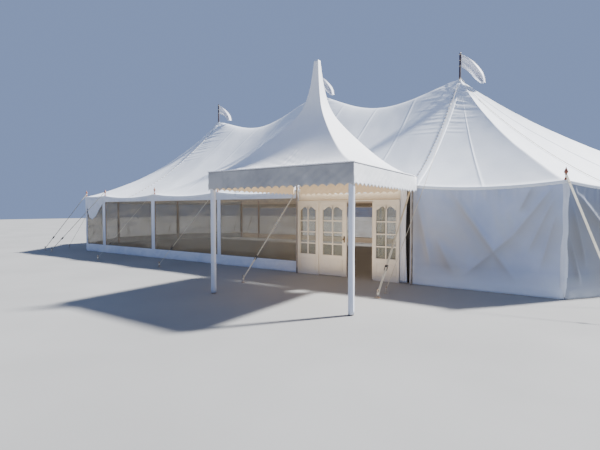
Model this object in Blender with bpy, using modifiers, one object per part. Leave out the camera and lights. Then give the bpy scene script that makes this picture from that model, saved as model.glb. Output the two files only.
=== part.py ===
"""Marquee tent with three king poles, an entrance canopy and a pair of timber doors.

Frame: +X runs along the front wall to the right, +Y goes away from the front, +Z is up.
The origin is on the ground at the foot of the middle king pole. All sizes are in metres.
"""
import math

import bmesh
import bpy
from mathutils import Matrix, Vector

# Main sizes of the tent
HALF_WIDTH = 5.12
KING_SPACING = 5.77
RIGHT_APEX = 6.30
LEFT_APEX = 6.20
MID_APEX = 6.66
EAVE_HEIGHT = 2.40
CORNER_REACH = 3.05
FRONT_BAY = 3.285
END_FACETS = 3

# Roof cloth
ROOF_THICKNESS = 0.008
RIDGE_SAG = 0.74
RIDGE_SHOULDER = 1.6
RIDGE_ROUNDING = 0.55
ROOF_HOLLOW = 0.36
RIGHT_HOLLOW = 0.28
RIGHT_HOLLOW_SPREAD = 1.0
LEFT_HOLLOW = 0.72
LEFT_HOLLOW_SPREAD = 0.5
EAVE_SAG = 0.10
EAVE_OVERHANG = 0.052
EAVE_BAND = 0.05
EAVE_HEM_WIDTH = 0.008
EAVE_HEM_DEPTH = 0.07
KING_HOLE_RADIUS = 0.075
KING_RING_RADIUS = 0.14
KING_RING_DROP = 0.15
KING_INNER_SHARE = 0.3
KING_HOLE_SPIN = math.radians(7)
ROOF_ROWS = 6
STATIONS_PER_METRE = 0.9

# Side poles, each with a turned finial on the pin that goes through the eave
POLE_RADIUS = 0.03
POLE_SIDES = 8
PIN_RADIUS = 0.012
PIN_HOLE_RADIUS = 0.016
FINIAL_HEIGHT = 0.27
FINIAL_RADIUS = 0.032
POLE_FLAT = 0.045

# Guys of flat webbing, each with a ratchet and a stake
WEBBING_WIDTH = 0.05
WEBBING_THICKNESS = 0.005
GUY_CLEARANCE = 0.03
GUY_REACH = 1.95
RATCHET_LENGTH = 0.15
RATCHET_WIDTH = 0.07
RATCHET_THICKNESS = 0.035
RATCHET_PLACE = 0.80
STAKE_RADIUS = 0.02
STAKE_HEIGHT = 0.18
STAKE_PLATE_RADIUS = 0.065
STAKE_PLATE_HEIGHT = 0.012
STAKE_TIE_HEIGHT = 0.09

# King poles and their flags
KING_RADIUS = 0.065
STAFF_RADIUS = 0.034
STAFF_RISE = 0.95
COLLAR_RADIUS = 0.13
COLLAR_HEIGHT = 0.05
KING_SIDES = 12
FLAG_TOP_DROP = 0.06
FLAG_HOIST = 0.42
FLAG_FLY = 0.78
FLAG_DROOPS = (0.84, 0.95, 1.10)
FLAG_TAIL = 0.14
FLAG_THICKNESS = 0.004

# Canvas walls and their clear windows
WALL_THICKNESS = 0.006
CLEAR_THICKNESS = 0.002
WALL_HEAD_GAP = 0.005
WINDOW_SILL = 0.32
WINDOW_HEAD_BAND = 0.26
WINDOW_MARGIN = 0.10
CLEAR_LAP = 0.04

# Door set in the entrance bay
DOOR_SET_LEFT = 2.465
DOOR_SET_WIDTH = 2.99
DOOR_SET_DROP = 0.34
DOOR_SET_DEPTH = 0.07
SIDE_LIGHT_WIDTH = 0.69
LEAF_DIFFERENCE = 0.088
HEAD_DEPTH = 0.034
LEAF_THICKNESS = 0.04
LEAF_CLEARANCE = 0.006
LEAF_FLOOR_GAP = 0.012
STILE_WIDTH = 0.12
SIDE_LIGHT_STILE = 0.085
GLASS_SILL = 0.56
GLASS_HEAD_RAIL = 0.10
GLASS_ARCH_RISE = 0.05
GLASS_THICKNESS = 0.006
ARCH_STEPS = 8
HINGE_OFFSET = 0.014
HINGE_RADIUS = 0.009
HINGE_KNUCKLE = 0.05
HINGE_PLATE = 0.035
LOW_HINGE_HEIGHT = 0.25
HIGH_HINGE_DROP = 0.41
KNOB_HEIGHT = 1.02
KNOB_RADIUS = 0.024
KNOB_REACH = 0.055
RIGHT_LEAF_REST_DEG = 92.0

# Entrance canopy
PORCH_HALF_WIDTH = 1.70
PORCH_DEPTH = 3.36
PORCH_REAR_GAP = 0.14
PORCH_EAVE = 2.61
PORCH_RISE = 1.70
PORCH_CURVE = 1.47
SPIRE_RISE = 1.65
SPIRE_CURVE = 20.0
PORCH_TIP = 0.03
PORCH_CLOTH = 0.006
PORCH_RINGS = 8
PORCH_RING_SPACING = 1.6
PORCH_SIDE_STEPS = 10
VALANCE_DEPTH = 0.40
VALANCE_SHORT = 0.03
PORCH_CORNER_STEP = 0.05
PORCH_POST_RADIUS = 0.045
PORCH_POST_INSET = 0.065
PORCH_RING_INSET = 0.035
PORCH_RAIL = 0.045
PORCH_REAR_POST_RADIUS = 0.024
PORCH_REAR_POST_INSET = 0.045
PORCH_TIE_RADIUS = 0.012
PORCH_TIE_LIFT = 0.003
PORCH_MAST_RADIUS = 0.015
PORCH_MAST_DROP = 0.03
PORCH_REAR_LEFT_INSET = 0.0675
PORCH_REAR_RIGHT_INSET = 0.0325

# Clearance between pieces that touch
TOUCH = 0.0003

# Stake positions of the front poles, from the pole's foot, named from left to right
FRONT_STAKES = (
    (-1.68, -1.00),
    (-2.10, -1.20),
    (-1.06, -1.64),
    (-1.00, -1.57),
    (-0.33, -2.10),
    (-0.12, -1.94),
    (0.80, -1.70),
)
# How far each front guy is tied to the side of its pin, in the same order
FRONT_TIE_SHIFTS = (0.0, 0.0, 0.0, 0.0, -0.024, -0.024, 0.0)

# Sizes worked out from the ones above
KING_XS = (-KING_SPACING, 0.0, KING_SPACING)
KING_APEXES = (LEFT_APEX, MID_APEX, RIGHT_APEX)
CORNER_X = KING_SPACING + CORNER_REACH
END_RADIUS = math.hypot(CORNER_REACH, HALF_WIDTH)
CORNER_ANGLE = math.atan2(HALF_WIDTH, CORNER_REACH)
EAVE_UNDER = EAVE_HEIGHT - ROOF_THICKNESS
SOLID_WALL_OFFSET = POLE_RADIUS + TOUCH
CLEAR_OFFSET = POLE_RADIUS + TOUCH
WINDOW_WALL_OFFSET = CLEAR_OFFSET + CLEAR_THICKNESS + TOUCH
WINDOW_HEAD = EAVE_HEIGHT - WINDOW_HEAD_BAND
DOOR_SET_HEIGHT = EAVE_HEIGHT - DOOR_SET_DROP
DOOR_SET_RIGHT = DOOR_SET_LEFT + DOOR_SET_WIDTH
DOOR_INNER_Y = -(HALF_WIDTH + SOLID_WALL_OFFSET)
DOORWAY_LEFT = DOOR_SET_LEFT + SIDE_LIGHT_WIDTH
DOORWAY_RIGHT = DOOR_SET_RIGHT - SIDE_LIGHT_WIDTH
DOORWAY_HEIGHT = DOOR_SET_HEIGHT - HEAD_DEPTH
LEAVES_WIDTH = DOORWAY_RIGHT - DOORWAY_LEFT - 3 * LEAF_CLEARANCE
LEFT_LEAF_WIDTH = (LEAVES_WIDTH + LEAF_DIFFERENCE) / 2
RIGHT_LEAF_WIDTH = (LEAVES_WIDTH - LEAF_DIFFERENCE) / 2
GLASS_HEAD = DOOR_SET_HEIGHT - GLASS_HEAD_RAIL
HINGE_HEIGHTS = (LOW_HINGE_HEIGHT, DOOR_SET_HEIGHT - HIGH_HINGE_DROP)
HINGE_Y = DOOR_INNER_Y + HINGE_OFFSET
PORCH_CENTRE_X = KING_SPACING - FRONT_BAY / 2
PORCH_CENTRE_Y = -(HALF_WIDTH + PORCH_REAR_GAP + PORCH_DEPTH / 2)
PORCH_HALF_DEPTH = PORCH_DEPTH / 2


# Scene and materials

def clear_scene():
    for obj in list(bpy.data.objects):
        bpy.data.objects.remove(obj, do_unlink=True)


def new_collection(name):
    collection = bpy.data.collections.new(name)
    bpy.context.scene.collection.children.link(collection)
    return collection


def make_material(name, colour, roughness, metallic=0.0, alpha=1.0):
    material = bpy.data.materials.new(name)
    material.use_nodes = True
    shader = material.node_tree.nodes["Principled BSDF"]
    shader.inputs["Base Color"].default_value = (*colour, 1.0)
    shader.inputs["Roughness"].default_value = roughness
    shader.inputs["Metallic"].default_value = metallic
    shader.inputs["Alpha"].default_value = alpha
    return material


clear_scene()
PARTS = new_collection("marquee_tent")
CUTTERS = new_collection("cutters")
CANVAS = make_material("canvas", (0.88, 0.90, 0.94), 0.7)
CLEAR = make_material("clear_sheet", (0.80, 0.86, 0.90), 0.15, alpha=0.3)
TIMBER = make_material("pole_timber", (0.55, 0.26, 0.12), 0.5)
KING_TIMBER = make_material("king_timber", (0.42, 0.16, 0.09), 0.5)
FLAG_CLOTH = make_material("flag_cloth", (0.90, 0.91, 0.93), 0.8)
PORCH_CANVAS = make_material("porch_canvas", (0.90, 0.92, 0.96), 0.65)
PORCH_METAL = make_material("porch_metal", (0.85, 0.86, 0.88), 0.4, metallic=0.2)
DOOR_PAINT = make_material("door_paint", (0.62, 0.59, 0.53), 0.45)
GLASS = make_material("glass", (0.75, 0.82, 0.85), 0.05, alpha=0.35)


# Modelling helpers

def link(name, data, material, collection=None):
    obj = bpy.data.objects.new(name, data)
    (collection or PARTS).objects.link(obj)
    if material:
        obj.data.materials.append(material)
    return obj


def mesh_object(name, bm, material, collection=None):
    mesh = bpy.data.meshes.new(name)
    bm.to_mesh(mesh)
    bm.free()
    return link(name, mesh, material, collection)


def as_mesh(curve_object, material):
    """Turn a curve object into a welded mesh object in the same place."""
    name = curve_object.name
    place = curve_object.matrix_world.copy()
    bpy.context.view_layer.update()
    evaluated = curve_object.evaluated_get(bpy.context.evaluated_depsgraph_get())
    mesh = bpy.data.meshes.new_from_object(evaluated)
    bpy.data.objects.remove(curve_object, do_unlink=True)
    bm = bmesh.new()
    bm.from_mesh(mesh)
    bmesh.ops.remove_doubles(bm, verts=bm.verts, dist=0.00001)
    bmesh.ops.recalc_face_normals(bm, faces=bm.faces)
    bm.to_mesh(mesh)
    bm.free()
    mesh.materials.clear()
    obj = link(name, mesh, material)
    obj.name = name
    obj.matrix_world = place
    return obj


def slab(name, outline, holes, thickness, place, material):
    """A flat plate: an outline with holes, extruded to both sides of its plane."""
    curve = bpy.data.curves.new(name, "CURVE")
    curve.dimensions = "2D"
    curve.fill_mode = "BOTH"
    curve.extrude = thickness / 2
    for ring in [outline, *holes]:
        spline = curve.splines.new("POLY")
        spline.points.add(len(ring) - 1)
        for point, (u, v) in zip(spline.points, ring):
            point.co = (u, v, 0.0, 1.0)
        spline.use_cyclic_u = True
    obj = link(name, curve, None)
    obj.matrix_world = place
    return as_mesh(obj, material)


def turned(name, profile, sides, material, location):
    """A turned piece: the profile runs from the top, down its outer side, to the bottom."""
    bm = bmesh.new()
    points = [bm.verts.new((radius, 0.0, height)) for radius, height in profile]
    for upper, lower in zip(points, points[1:]):
        bm.edges.new((upper, lower))
    obj = mesh_object(name, bm, material)
    obj.location = location
    screw = obj.modifiers.new("turn", "SCREW")
    screw.steps = sides
    screw.render_steps = sides
    screw.use_merge_vertices = True
    screw.merge_threshold = 0.0001
    return obj


def tool_box(name, low, high, place=None):
    low, high = Vector(low), Vector(high)
    bm = bmesh.new()
    bmesh.ops.create_cube(bm, size=1.0)
    bmesh.ops.scale(bm, vec=high - low, verts=bm.verts)
    bmesh.ops.translate(bm, vec=(low + high) / 2, verts=bm.verts)
    return tool(name, bm, place)


def tool_rod(name, start, end, radius, sides=10, spin=0.0):
    start, end = Vector(start), Vector(end)
    run = end - start
    bm = bmesh.new()
    turn = run.to_track_quat("Z", "Y").to_matrix().to_4x4()
    bmesh.ops.create_cone(
        bm,
        cap_ends=True,
        segments=sides,
        radius1=radius,
        radius2=radius,
        depth=run.length,
        matrix=Matrix.Translation((start + end) / 2) @ turn @ Matrix.Rotation(spin, 4, "Z"),
    )
    return tool(name, bm)


def tool_ball(name, centre, radius):
    bm = bmesh.new()
    place = Matrix.Translation(centre)
    bmesh.ops.create_uvsphere(bm, u_segments=10, v_segments=6, radius=radius, matrix=place)
    return tool(name, bm)


def tool(name, bm, place=None):
    obj = mesh_object("cut_" + name, bm, None, CUTTERS)
    obj.hide_render = True
    obj.display_type = "WIRE"
    if place is not None:
        obj.matrix_world = place
    return obj


def combine(obj, tools, operation):
    for piece in tools:
        modifier = obj.modifiers.new(piece.name, "BOOLEAN")
        modifier.operation = operation
        modifier.object = piece
    return obj


# Plan of the side poles, front wall first, then anticlockwise seen from above

def front_pole_xs():
    regular = [KING_SPACING - index * FRONT_BAY for index in range(5)]
    return [-CORNER_X, *reversed(regular), CORNER_X]


def end_pole_points(side):
    """The two poles between the corners of one end; side is 1 at the right end."""
    step = 2 * CORNER_ANGLE / END_FACETS
    points = []
    for index in range(1, END_FACETS):
        angle = -CORNER_ANGLE + index * step
        x = KING_SPACING + END_RADIUS * math.cos(angle)
        points.append((side * x, side * END_RADIUS * math.sin(angle)))
    return points


def pole_plan():
    """Every side pole as (name, x, y), in order round the tent."""
    xs = front_pole_xs()
    plan = [(f"front_{index + 1}", x, -HALF_WIDTH) for index, x in enumerate(xs)]
    plan += [(f"right_{index + 1}", x, y) for index, (x, y) in enumerate(end_pole_points(1))]
    back = [(f"back_{index + 1}", x, HALF_WIDTH) for index, x in enumerate(xs)]
    plan += list(reversed(back))
    plan += [(f"left_{index + 1}", x, y) for index, (x, y) in enumerate(end_pole_points(-1))]
    return plan


POLES = pole_plan()


def outward(start, end):
    """The outward normal of the wall from one pole to the next."""
    run = (Vector(end) - Vector(start)).normalized()
    return Vector((run.y, -run.x))


def eave_height(distance, length):
    """Height of the eave at a distance along a bay: it sags, and is flat over each pole."""
    free = length - 2 * POLE_FLAT
    share = min(max((distance - POLE_FLAT) / free, 0.0), 1.0)
    depth = EAVE_SAG * (length / FRONT_BAY) ** 2
    return EAVE_HEIGHT - depth * 4 * share * (1 - share)


def bay_distances(length, extra=()):
    """Stations along a bay, from 0 to its length."""
    count = max(2, round(length * STATIONS_PER_METRE))
    free = length - 2 * POLE_FLAT
    inner = [POLE_FLAT + free * index / count for index in range(count + 1)]
    marks = [0.0, *inner, length, *extra]
    return sorted(set(marks))


def seam_marks(start, end):
    """Distances at which a front or back bay crosses the line and the ring of a king pole."""
    marks = []
    low, high = sorted((start[0], end[0]))
    for king_x in KING_XS:
        for mark_x in (king_x - KING_RING_RADIUS, king_x, king_x + KING_RING_RADIUS):
            if abs(start[1]) == abs(end[1]) and low + 0.01 < mark_x < high - 0.01:
                marks.append(abs(mark_x - start[0]))
    return marks


def eave_stations():
    """Every station round the eave: its place, its height and its outward direction."""
    stations = []
    count = len(POLES)
    for index in range(count):
        before = POLES[index - 1][1:]
        start = POLES[index][1:]
        end = POLES[(index + 1) % count][1:]
        length = math.dist(start, end)
        normal = outward(start, end)
        corner = normal + outward(before, start)
        corner = corner * (2 / corner.length_squared)
        run = (Vector(end) - Vector(start)) / length
        for distance in bay_distances(length, seam_marks(start, end))[:-1]:
            point = Vector(start) + run * distance
            direction = corner if distance == 0.0 else normal
            stations.append((point, eave_height(distance, length), direction))
    return stations


# Roof

def ridge_point(x):
    """Height of the ridge and its share of the span between two king poles."""
    apex = LEFT_APEX if x < 0 else RIGHT_APEX
    share = min(abs(x), KING_SPACING) / KING_SPACING
    straight = MID_APEX + (apex - MID_APEX) * share
    bow = (4 * share * (1 - share)) ** RIDGE_SHOULDER
    return straight - RIDGE_SAG * bow, bow


def roof_rise(distance, reach, rounding, hollow):
    """Share of the roof's rise at a level distance from the ridge."""
    full = math.hypot(reach, rounding) - rounding
    level = 1 - (math.hypot(distance, rounding) - rounding) / full
    return level - hollow * level * (1 - level)


def roof_line(point, eave, direction, peak, rounding, hollow):
    """Roof points from the hem up to the ridge, each with the cloth's depth there."""
    def at(offset):
        place = point + direction * offset
        return place.x, place.y

    hem_outer = EAVE_OVERHANG
    hem_inner = EAVE_OVERHANG - EAVE_HEM_WIDTH
    line = [
        (*at(hem_outer), eave, EAVE_HEM_DEPTH),
        (*at(hem_inner), eave, EAVE_HEM_DEPTH),
        (*at(hem_inner - 0.002), eave, ROOF_THICKNESS),
        (*at(0.0), eave, ROOF_THICKNESS),
        (*at(-EAVE_BAND), eave, ROOF_THICKNESS),
    ]
    start = point - direction * EAVE_BAND
    end = Vector(peak[:2])
    reach = (start - end).length
    steps = [reach * (1 - index / ROOF_ROWS) for index in range(1, ROOF_ROWS)]
    steps.append(KING_RING_RADIUS)
    for distance in steps:
        place = end + (start - end) * (distance / reach)
        height = eave + (peak[2] - eave) * roof_rise(distance, reach, rounding, hollow)
        line.append((place.x, place.y, height, ROOF_THICKNESS))
    return line


def end_king_line(point, eave, direction, side):
    """A line up one end; its last two points lie flat on the ring round the king pole."""
    apex, facing_hollow, spread = RIGHT_APEX, RIGHT_HOLLOW, RIGHT_HOLLOW_SPREAD
    if side < 0:
        apex, facing_hollow, spread = LEFT_APEX, LEFT_HOLLOW, LEFT_HOLLOW_SPREAD
    peak = (side * KING_SPACING, 0.0, apex)
    facing = abs(point.x - peak[0]) / (point - Vector(peak[:2])).length
    hollow = ROOF_HOLLOW + (facing_hollow - ROOF_HOLLOW) * facing ** spread
    line = roof_line(point, eave, direction, peak, 0.0, hollow)
    ring = Vector(line[-1][:2])
    inner = Vector(peak[:2]) + (ring - Vector(peak[:2])) * KING_INNER_SHARE
    level = apex - KING_RING_DROP
    line[-1] = (ring.x, ring.y, level, ROOF_THICKNESS)
    line.append((inner.x, inner.y, level, ROOF_THICKNESS))
    return line


def mid_line(point, eave, direction):
    """A line up the straight part, flat on the ring where it passes a king pole."""
    height, bow = ridge_point(point.x)
    peak = (point.x, 0.0, height)
    line = roof_line(point, eave, direction, peak, RIDGE_ROUNDING * bow, ROOF_HOLLOW)
    for king_x, apex in zip(KING_XS, KING_APEXES):
        if abs(point.x - king_x) < KING_RING_RADIUS + 1e-6:
            height = apex - KING_RING_DROP
            line[-1] = (point.x, line[-1][1], height, ROOF_THICKNESS)
    line.append((point.x, 0.0, height, ROOF_THICKNESS))
    return line


def cloth_sheet(name, lines, material):
    """A sheet through lines of points, with the depth given at each point."""
    rows = len(lines) - 1
    columns = len(lines[0]) - 1
    bm = bmesh.new()
    bmesh.ops.create_grid(bm, x_segments=rows, y_segments=columns, size=1.0)
    depth = bm.verts.layers.float.new("depth")
    for vertex in bm.verts:
        row = round((vertex.co.x + 1) / 2 * rows)
        column = round((vertex.co.y + 1) / 2 * columns)
        x, y, z, thick = lines[row][column]
        vertex.co = (x, y, z)
        vertex[depth] = thick
    bmesh.ops.triangulate(bm, faces=bm.faces)
    lower = bmesh.ops.extrude_face_region(bm, geom=bm.faces[:])
    for item in lower["geom"]:
        if isinstance(item, bmesh.types.BMVert):
            item.co.z -= item[depth]
    bmesh.ops.recalc_face_normals(bm, faces=bm.faces)
    return mesh_object(name, bm, material)


def roof_holes(name, low_x, high_x):
    """Cutters for the pins and the king poles that pass through one roof section."""
    tools = []
    for label, x, y in POLES:
        if low_x - KING_RING_RADIUS < x < high_x + KING_RING_RADIUS:
            top = EAVE_HEIGHT + EAVE_HEM_DEPTH
            low = EAVE_HEIGHT - EAVE_HEM_DEPTH
            rod = tool_rod(f"{name}_{label}", (x, y, low), (x, y, top), PIN_HOLE_RADIUS)
            tools.append(rod)
    for king_x, apex in zip(KING_XS, KING_APEXES):
        if low_x - KING_RING_RADIUS < king_x < high_x + KING_RING_RADIUS:
            low = (king_x, 0.0, apex - 2 * KING_RING_DROP)
            high = (king_x, 0.0, apex + KING_RING_DROP)
            label = f"{name}_king_{king_x:.0f}"
            tools.append(tool_rod(label, low, high, KING_HOLE_RADIUS, 16, KING_HOLE_SPIN))
    return tools


def build_roof():
    stations = eave_stations()
    for side, name in ((1, "roof_right_end"), (-1, "roof_left_end")):
        end = [item for item in stations if side * item[0].x > KING_SPACING - 1e-6]
        end.sort(key=lambda item: math.atan2(item[0].y, side * item[0].x - KING_SPACING))
        lines = []
        for point, eave, direction in end:
            line = end_king_line(point, eave, direction, side)
            if abs(side * point.x - KING_SPACING) < 1e-6:
                line = [(side * (KING_SPACING + TOUCH / 2), *rest[1:]) for rest in line]
            lines.append(line)
        roof = cloth_sheet(name, lines, CANVAS)
        limits = sorted((side * KING_SPACING, side * (KING_SPACING + 2 * END_RADIUS)))
        combine(roof, roof_holes(name, *limits), "DIFFERENCE")
    for side, name in ((1, "roof_mid_right"), (-1, "roof_mid_left")):
        lines = []
        front = [item for item in stations if item[0].y < 0 and abs(item[0].y + HALF_WIDTH) < 1e-6]
        front = [item for item in front if -1e-6 < side * item[0].x < KING_SPACING + 1e-6]
        front.sort(key=lambda item: item[0].x)
        for point, eave, direction in front:
            half = mid_line(point, eave, Vector((0.0, -1.0)))
            back = [(x, -y, z, thick) for x, y, z, thick in reversed(half[:-1])]
            line = half + back
            if abs(abs(point.x) - KING_SPACING) < 1e-6 or abs(point.x) < 1e-6:
                inward = -1 if abs(point.x) > KING_SPACING / 2 else 1
                shift = side * inward * TOUCH / 2
                line = [(rest[0] + shift, *rest[1:]) for rest in line]
            lines.append(line)
        roof = cloth_sheet(name, lines, CANVAS)
        limits = sorted((0.0, side * KING_SPACING))
        combine(roof, roof_holes(name, *limits), "DIFFERENCE")


# Poles, guys and flags

def side_pole_profile():
    finial = EAVE_HEIGHT + TOUCH
    top = finial + FINIAL_HEIGHT
    return [
        (0.0, top),
        (0.7 * FINIAL_RADIUS, top - 0.025),
        (0.4 * FINIAL_RADIUS, top - 0.06),
        (FINIAL_RADIUS, top - 0.12),
        (0.6 * FINIAL_RADIUS, top - 0.20),
        (FINIAL_RADIUS, finial),
        (PIN_RADIUS, finial),
        (PIN_RADIUS, EAVE_UNDER - TOUCH),
        (POLE_RADIUS, EAVE_UNDER - TOUCH),
        (POLE_RADIUS, 0.0),
        (0.0, 0.0),
    ]


def stake_offset(label, x, y):
    """Where a pole's stake is, from the pole's foot."""
    group, number = label.rsplit("_", 1)
    if group == "front":
        return FRONT_STAKES[int(number) - 1]
    if group == "back":
        dx, dy = FRONT_STAKES[int(number) - 1]
        return dx, -dy
    side = 1 if group == "right" else -1
    away = Vector((x - side * KING_SPACING, y)).normalized() * GUY_REACH
    return away.x, away.y


def tie_shift(label):
    group, number = label.rsplit("_", 1)
    if group in ("front", "back"):
        return FRONT_TIE_SHIFTS[int(number) - 1]
    return 0.0


def tie_height(index, dx, dy):
    """Height of a guy's tie above the eave, so that the webbing clears the eave's edge."""
    here = POLES[index][1:]
    before = POLES[index - 1][1:]
    after = POLES[(index + 1) % len(POLES)][1:]
    run = Vector((dx, dy))
    level = run.length
    reaches = []
    for normal in (outward(before, here), outward(here, after)):
        along = run.dot(normal) / level
        across = math.sqrt(max(0.0, 1 - along ** 2))
        if along > 0.1:
            reaches.append((EAVE_OVERHANG + WEBBING_WIDTH / 2 * across) / along)
    return GUY_CLEARANCE + min(reaches) * EAVE_HEIGHT / level


def build_side_pole(index, label, x, y):
    pole = turned(f"side_pole_{label}", side_pole_profile(), POLE_SIDES, TIMBER, (x, y, 0.0))
    dx, dy = stake_offset(label, x, y)
    shift = tie_shift(label)
    start = Vector((x + shift, y, EAVE_HEIGHT + tie_height(index, dx, dy)))
    stake = Vector((x + dx, y + dy, 0.0))
    end = stake + Vector((0.0, 0.0, STAKE_TIE_HEIGHT))
    run = end - start
    turn = run.to_track_quat("Y", "Z").to_matrix().to_4x4()
    place = Matrix.Translation(start) @ turn
    length = run.length
    half = WEBBING_WIDTH / 2
    thick = WEBBING_THICKNESS / 2
    webbing = tool_box(f"webbing_{label}", (-half, 0.0, -thick), (half, length, thick), place)
    middle = length * RATCHET_PLACE
    low = (-RATCHET_WIDTH / 2, middle - RATCHET_LENGTH / 2, -RATCHET_THICKNESS / 2)
    high = (RATCHET_WIDTH / 2, middle + RATCHET_LENGTH / 2, RATCHET_THICKNESS / 2)
    ratchet = tool_box(f"ratchet_{label}", low, high, place)
    top = stake + Vector((0.0, 0.0, STAKE_HEIGHT))
    pin = tool_rod(f"stake_{label}", stake, top, STAKE_RADIUS, 8)
    plate_top = stake + Vector((0.0, 0.0, STAKE_PLATE_HEIGHT))
    plate = tool_rod(f"plate_{label}", stake, plate_top, STAKE_PLATE_RADIUS, 8)
    return combine(pole, [webbing, ratchet, pin, plate], "UNION")


def build_king_pole(name, x, apex):
    collar_top = apex - KING_RING_DROP - ROOF_THICKNESS - TOUCH
    top = apex + STAFF_RISE
    profile = [
        (0.0, top),
        (0.7 * STAFF_RADIUS, top - 0.01),
        (STAFF_RADIUS, top - 0.04),
        (STAFF_RADIUS, apex - 0.02),
        (1.8 * STAFF_RADIUS, collar_top),
        (COLLAR_RADIUS, collar_top),
        (COLLAR_RADIUS, collar_top - COLLAR_HEIGHT),
        (KING_RADIUS, collar_top - COLLAR_HEIGHT),
        (KING_RADIUS, 0.0),
        (0.0, 0.0),
    ]
    return turned(name, profile, KING_SIDES, KING_TIMBER, (x, 0.0, 0.0))


def build_flag(name, x, apex, droop):
    """A pennant that hangs from the top of the staff, its tail drooping to the right."""
    top = apex + STAFF_RISE - FLAG_TOP_DROP
    left = STAFF_RADIUS + TOUCH
    right = left + FLAG_FLY
    outline = [
        (left, top),
        (left, top - FLAG_HOIST),
        (left + 0.5 * FLAG_FLY, top - 0.75 * droop),
        (right - FLAG_TAIL, top - droop),
        (right, top - droop),
        (right - 0.1 * FLAG_FLY, top - 0.65 * droop),
        (left + 0.5 * FLAG_FLY, top - 0.25 * droop),
    ]
    place = Matrix.Translation((x, 0.0, 0.0)) @ Matrix.Rotation(math.radians(90), 4, "X")
    return slab(name, outline, [], FLAG_THICKNESS, place, FLAG_CLOTH)


def build_kings():
    for name, x, apex, droop in zip(("left", "middle", "right"), KING_XS, KING_APEXES, FLAG_DROOPS):
        build_king_pole(f"king_pole_{name}", x, apex)
        build_flag(f"flag_{name}", x, apex, droop)


# Walls

def wall_place(start, end, offset):
    """Placement of a wall's plane: u runs along the wall, v runs up, w points out."""
    run = (Vector(end) - Vector(start)).normalized()
    normal = outward(start, end)
    origin = Vector(start) + normal * offset
    columns = (
        (run.x, run.y, 0.0),
        (0.0, 0.0, 1.0),
        (normal.x, normal.y, 0.0),
    )
    turn = Matrix(columns).transposed().to_4x4()
    return Matrix.Translation((origin.x, origin.y, 0.0)) @ turn


def wall_head(points, low_u, high_u):
    """Top edge of a straight wall, from its left end to its right end, under the eave."""
    edge = []
    base = points[0]
    for start, end in zip(points, points[1:]):
        length = math.dist(start, end)
        first = math.dist(base, start)
        for distance in bay_distances(length, seam_marks(start, end)):
            u = first + distance
            height = eave_height(distance, length) - ROOF_THICKNESS - WALL_HEAD_GAP
            edge.append((u, height))
    inner = [item for item in edge if low_u < item[0] < high_u]
    ends = []
    for u in (low_u, high_u):
        before = max((item for item in edge if item[0] <= u), default=edge[0])
        after = min((item for item in edge if item[0] >= u), default=edge[-1])
        gap = after[0] - before[0]
        share = (u - before[0]) / gap if gap > 0 else 0.0
        ends.append((u, before[1] + (after[1] - before[1]) * share))
    unique = [ends[0]]
    for item in inner:
        if item[0] - unique[-1][0] > 1e-6:
            unique.append(item)
    unique.append(ends[1])
    return unique


def rectangle(low_u, low_v, high_u, high_v):
    return [(low_u, low_v), (high_u, low_v), (high_u, high_v), (low_u, high_v)]


def wall_windows(points, bays):
    windows = []
    for index in bays:
        low_u = math.dist(points[0], points[index]) + WINDOW_MARGIN
        high_u = math.dist(points[0], points[index + 1]) - WINDOW_MARGIN
        windows.append(rectangle(low_u, WINDOW_SILL, high_u, WINDOW_HEAD))
    return windows


def corner_extra(turn):
    """How far a wall runs past a corner pole so that it meets the next one."""
    return SOLID_WALL_OFFSET * math.tan(turn / 2) - TOUCH


def build_wall(name, points, low_u, high_u, window_bays=(), low_v=0.0):
    """Part of a straight wall along the given poles, with clear windows in some bays."""
    offset = WINDOW_WALL_OFFSET if window_bays else SOLID_WALL_OFFSET
    place = wall_place(points[0], points[-1], offset + WALL_THICKNESS / 2)
    head = wall_head(points, low_u, high_u)
    outline = [(low_u, low_v), (high_u, low_v), *reversed(head)]
    slab(name, outline, wall_windows(points, window_bays), WALL_THICKNESS, place, CANVAS)
    if window_bays:
        clear_low = WINDOW_SILL - CLEAR_LAP
        clear_high = WINDOW_HEAD + CLEAR_LAP
        sheet_place = wall_place(points[0], points[-1], CLEAR_OFFSET + CLEAR_THICKNESS / 2)
        sheet = rectangle(low_u + TOUCH, clear_low, high_u - TOUCH, clear_high)
        slab(name.replace("wall_", "window_"), sheet, [], CLEAR_THICKNESS, sheet_place, CLEAR)


def build_walls():
    points = {label: (x, y) for label, x, y in POLES}
    end_turn = 2 * CORNER_ANGLE / END_FACETS
    first_turn = math.pi / 2 - (CORNER_ANGLE - end_turn / 2)
    corner = corner_extra(first_turn)
    middle = corner_extra(end_turn)
    front = [points[f"front_{index}"] for index in range(1, 8)]
    back = list(reversed([points[f"back_{index}"] for index in range(1, 8)]))
    length = math.dist(front[0], front[-1])
    doors_low = DOOR_SET_LEFT - front[0][0]
    doors_high = DOOR_SET_RIGHT - front[0][0]
    build_wall("wall_front_left", front, -corner, doors_low - TOUCH, range(4))
    build_wall("wall_front_right", front, doors_high + TOUCH, length + corner)
    sill = DOOR_SET_HEIGHT + TOUCH
    build_wall("wall_over_doors", front, doors_low, doors_high, low_v=sill)
    build_wall("wall_back", back, -corner, length + corner, range(6))
    right = [front[6], points["right_1"], points["right_2"], back[0]]
    left = [back[6], points["left_1"], points["left_2"], front[0]]
    extras = (corner, middle, middle, corner)
    for side, ring, windows in (("right", right, ()), ("left", left, (0,))):
        for index in range(3):
            pair = ring[index:index + 2]
            high_u = math.dist(*pair) + extras[index + 1]
            build_wall(f"wall_{side}_{index + 1}", pair, -extras[index], high_u, windows)


# Doors

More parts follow.
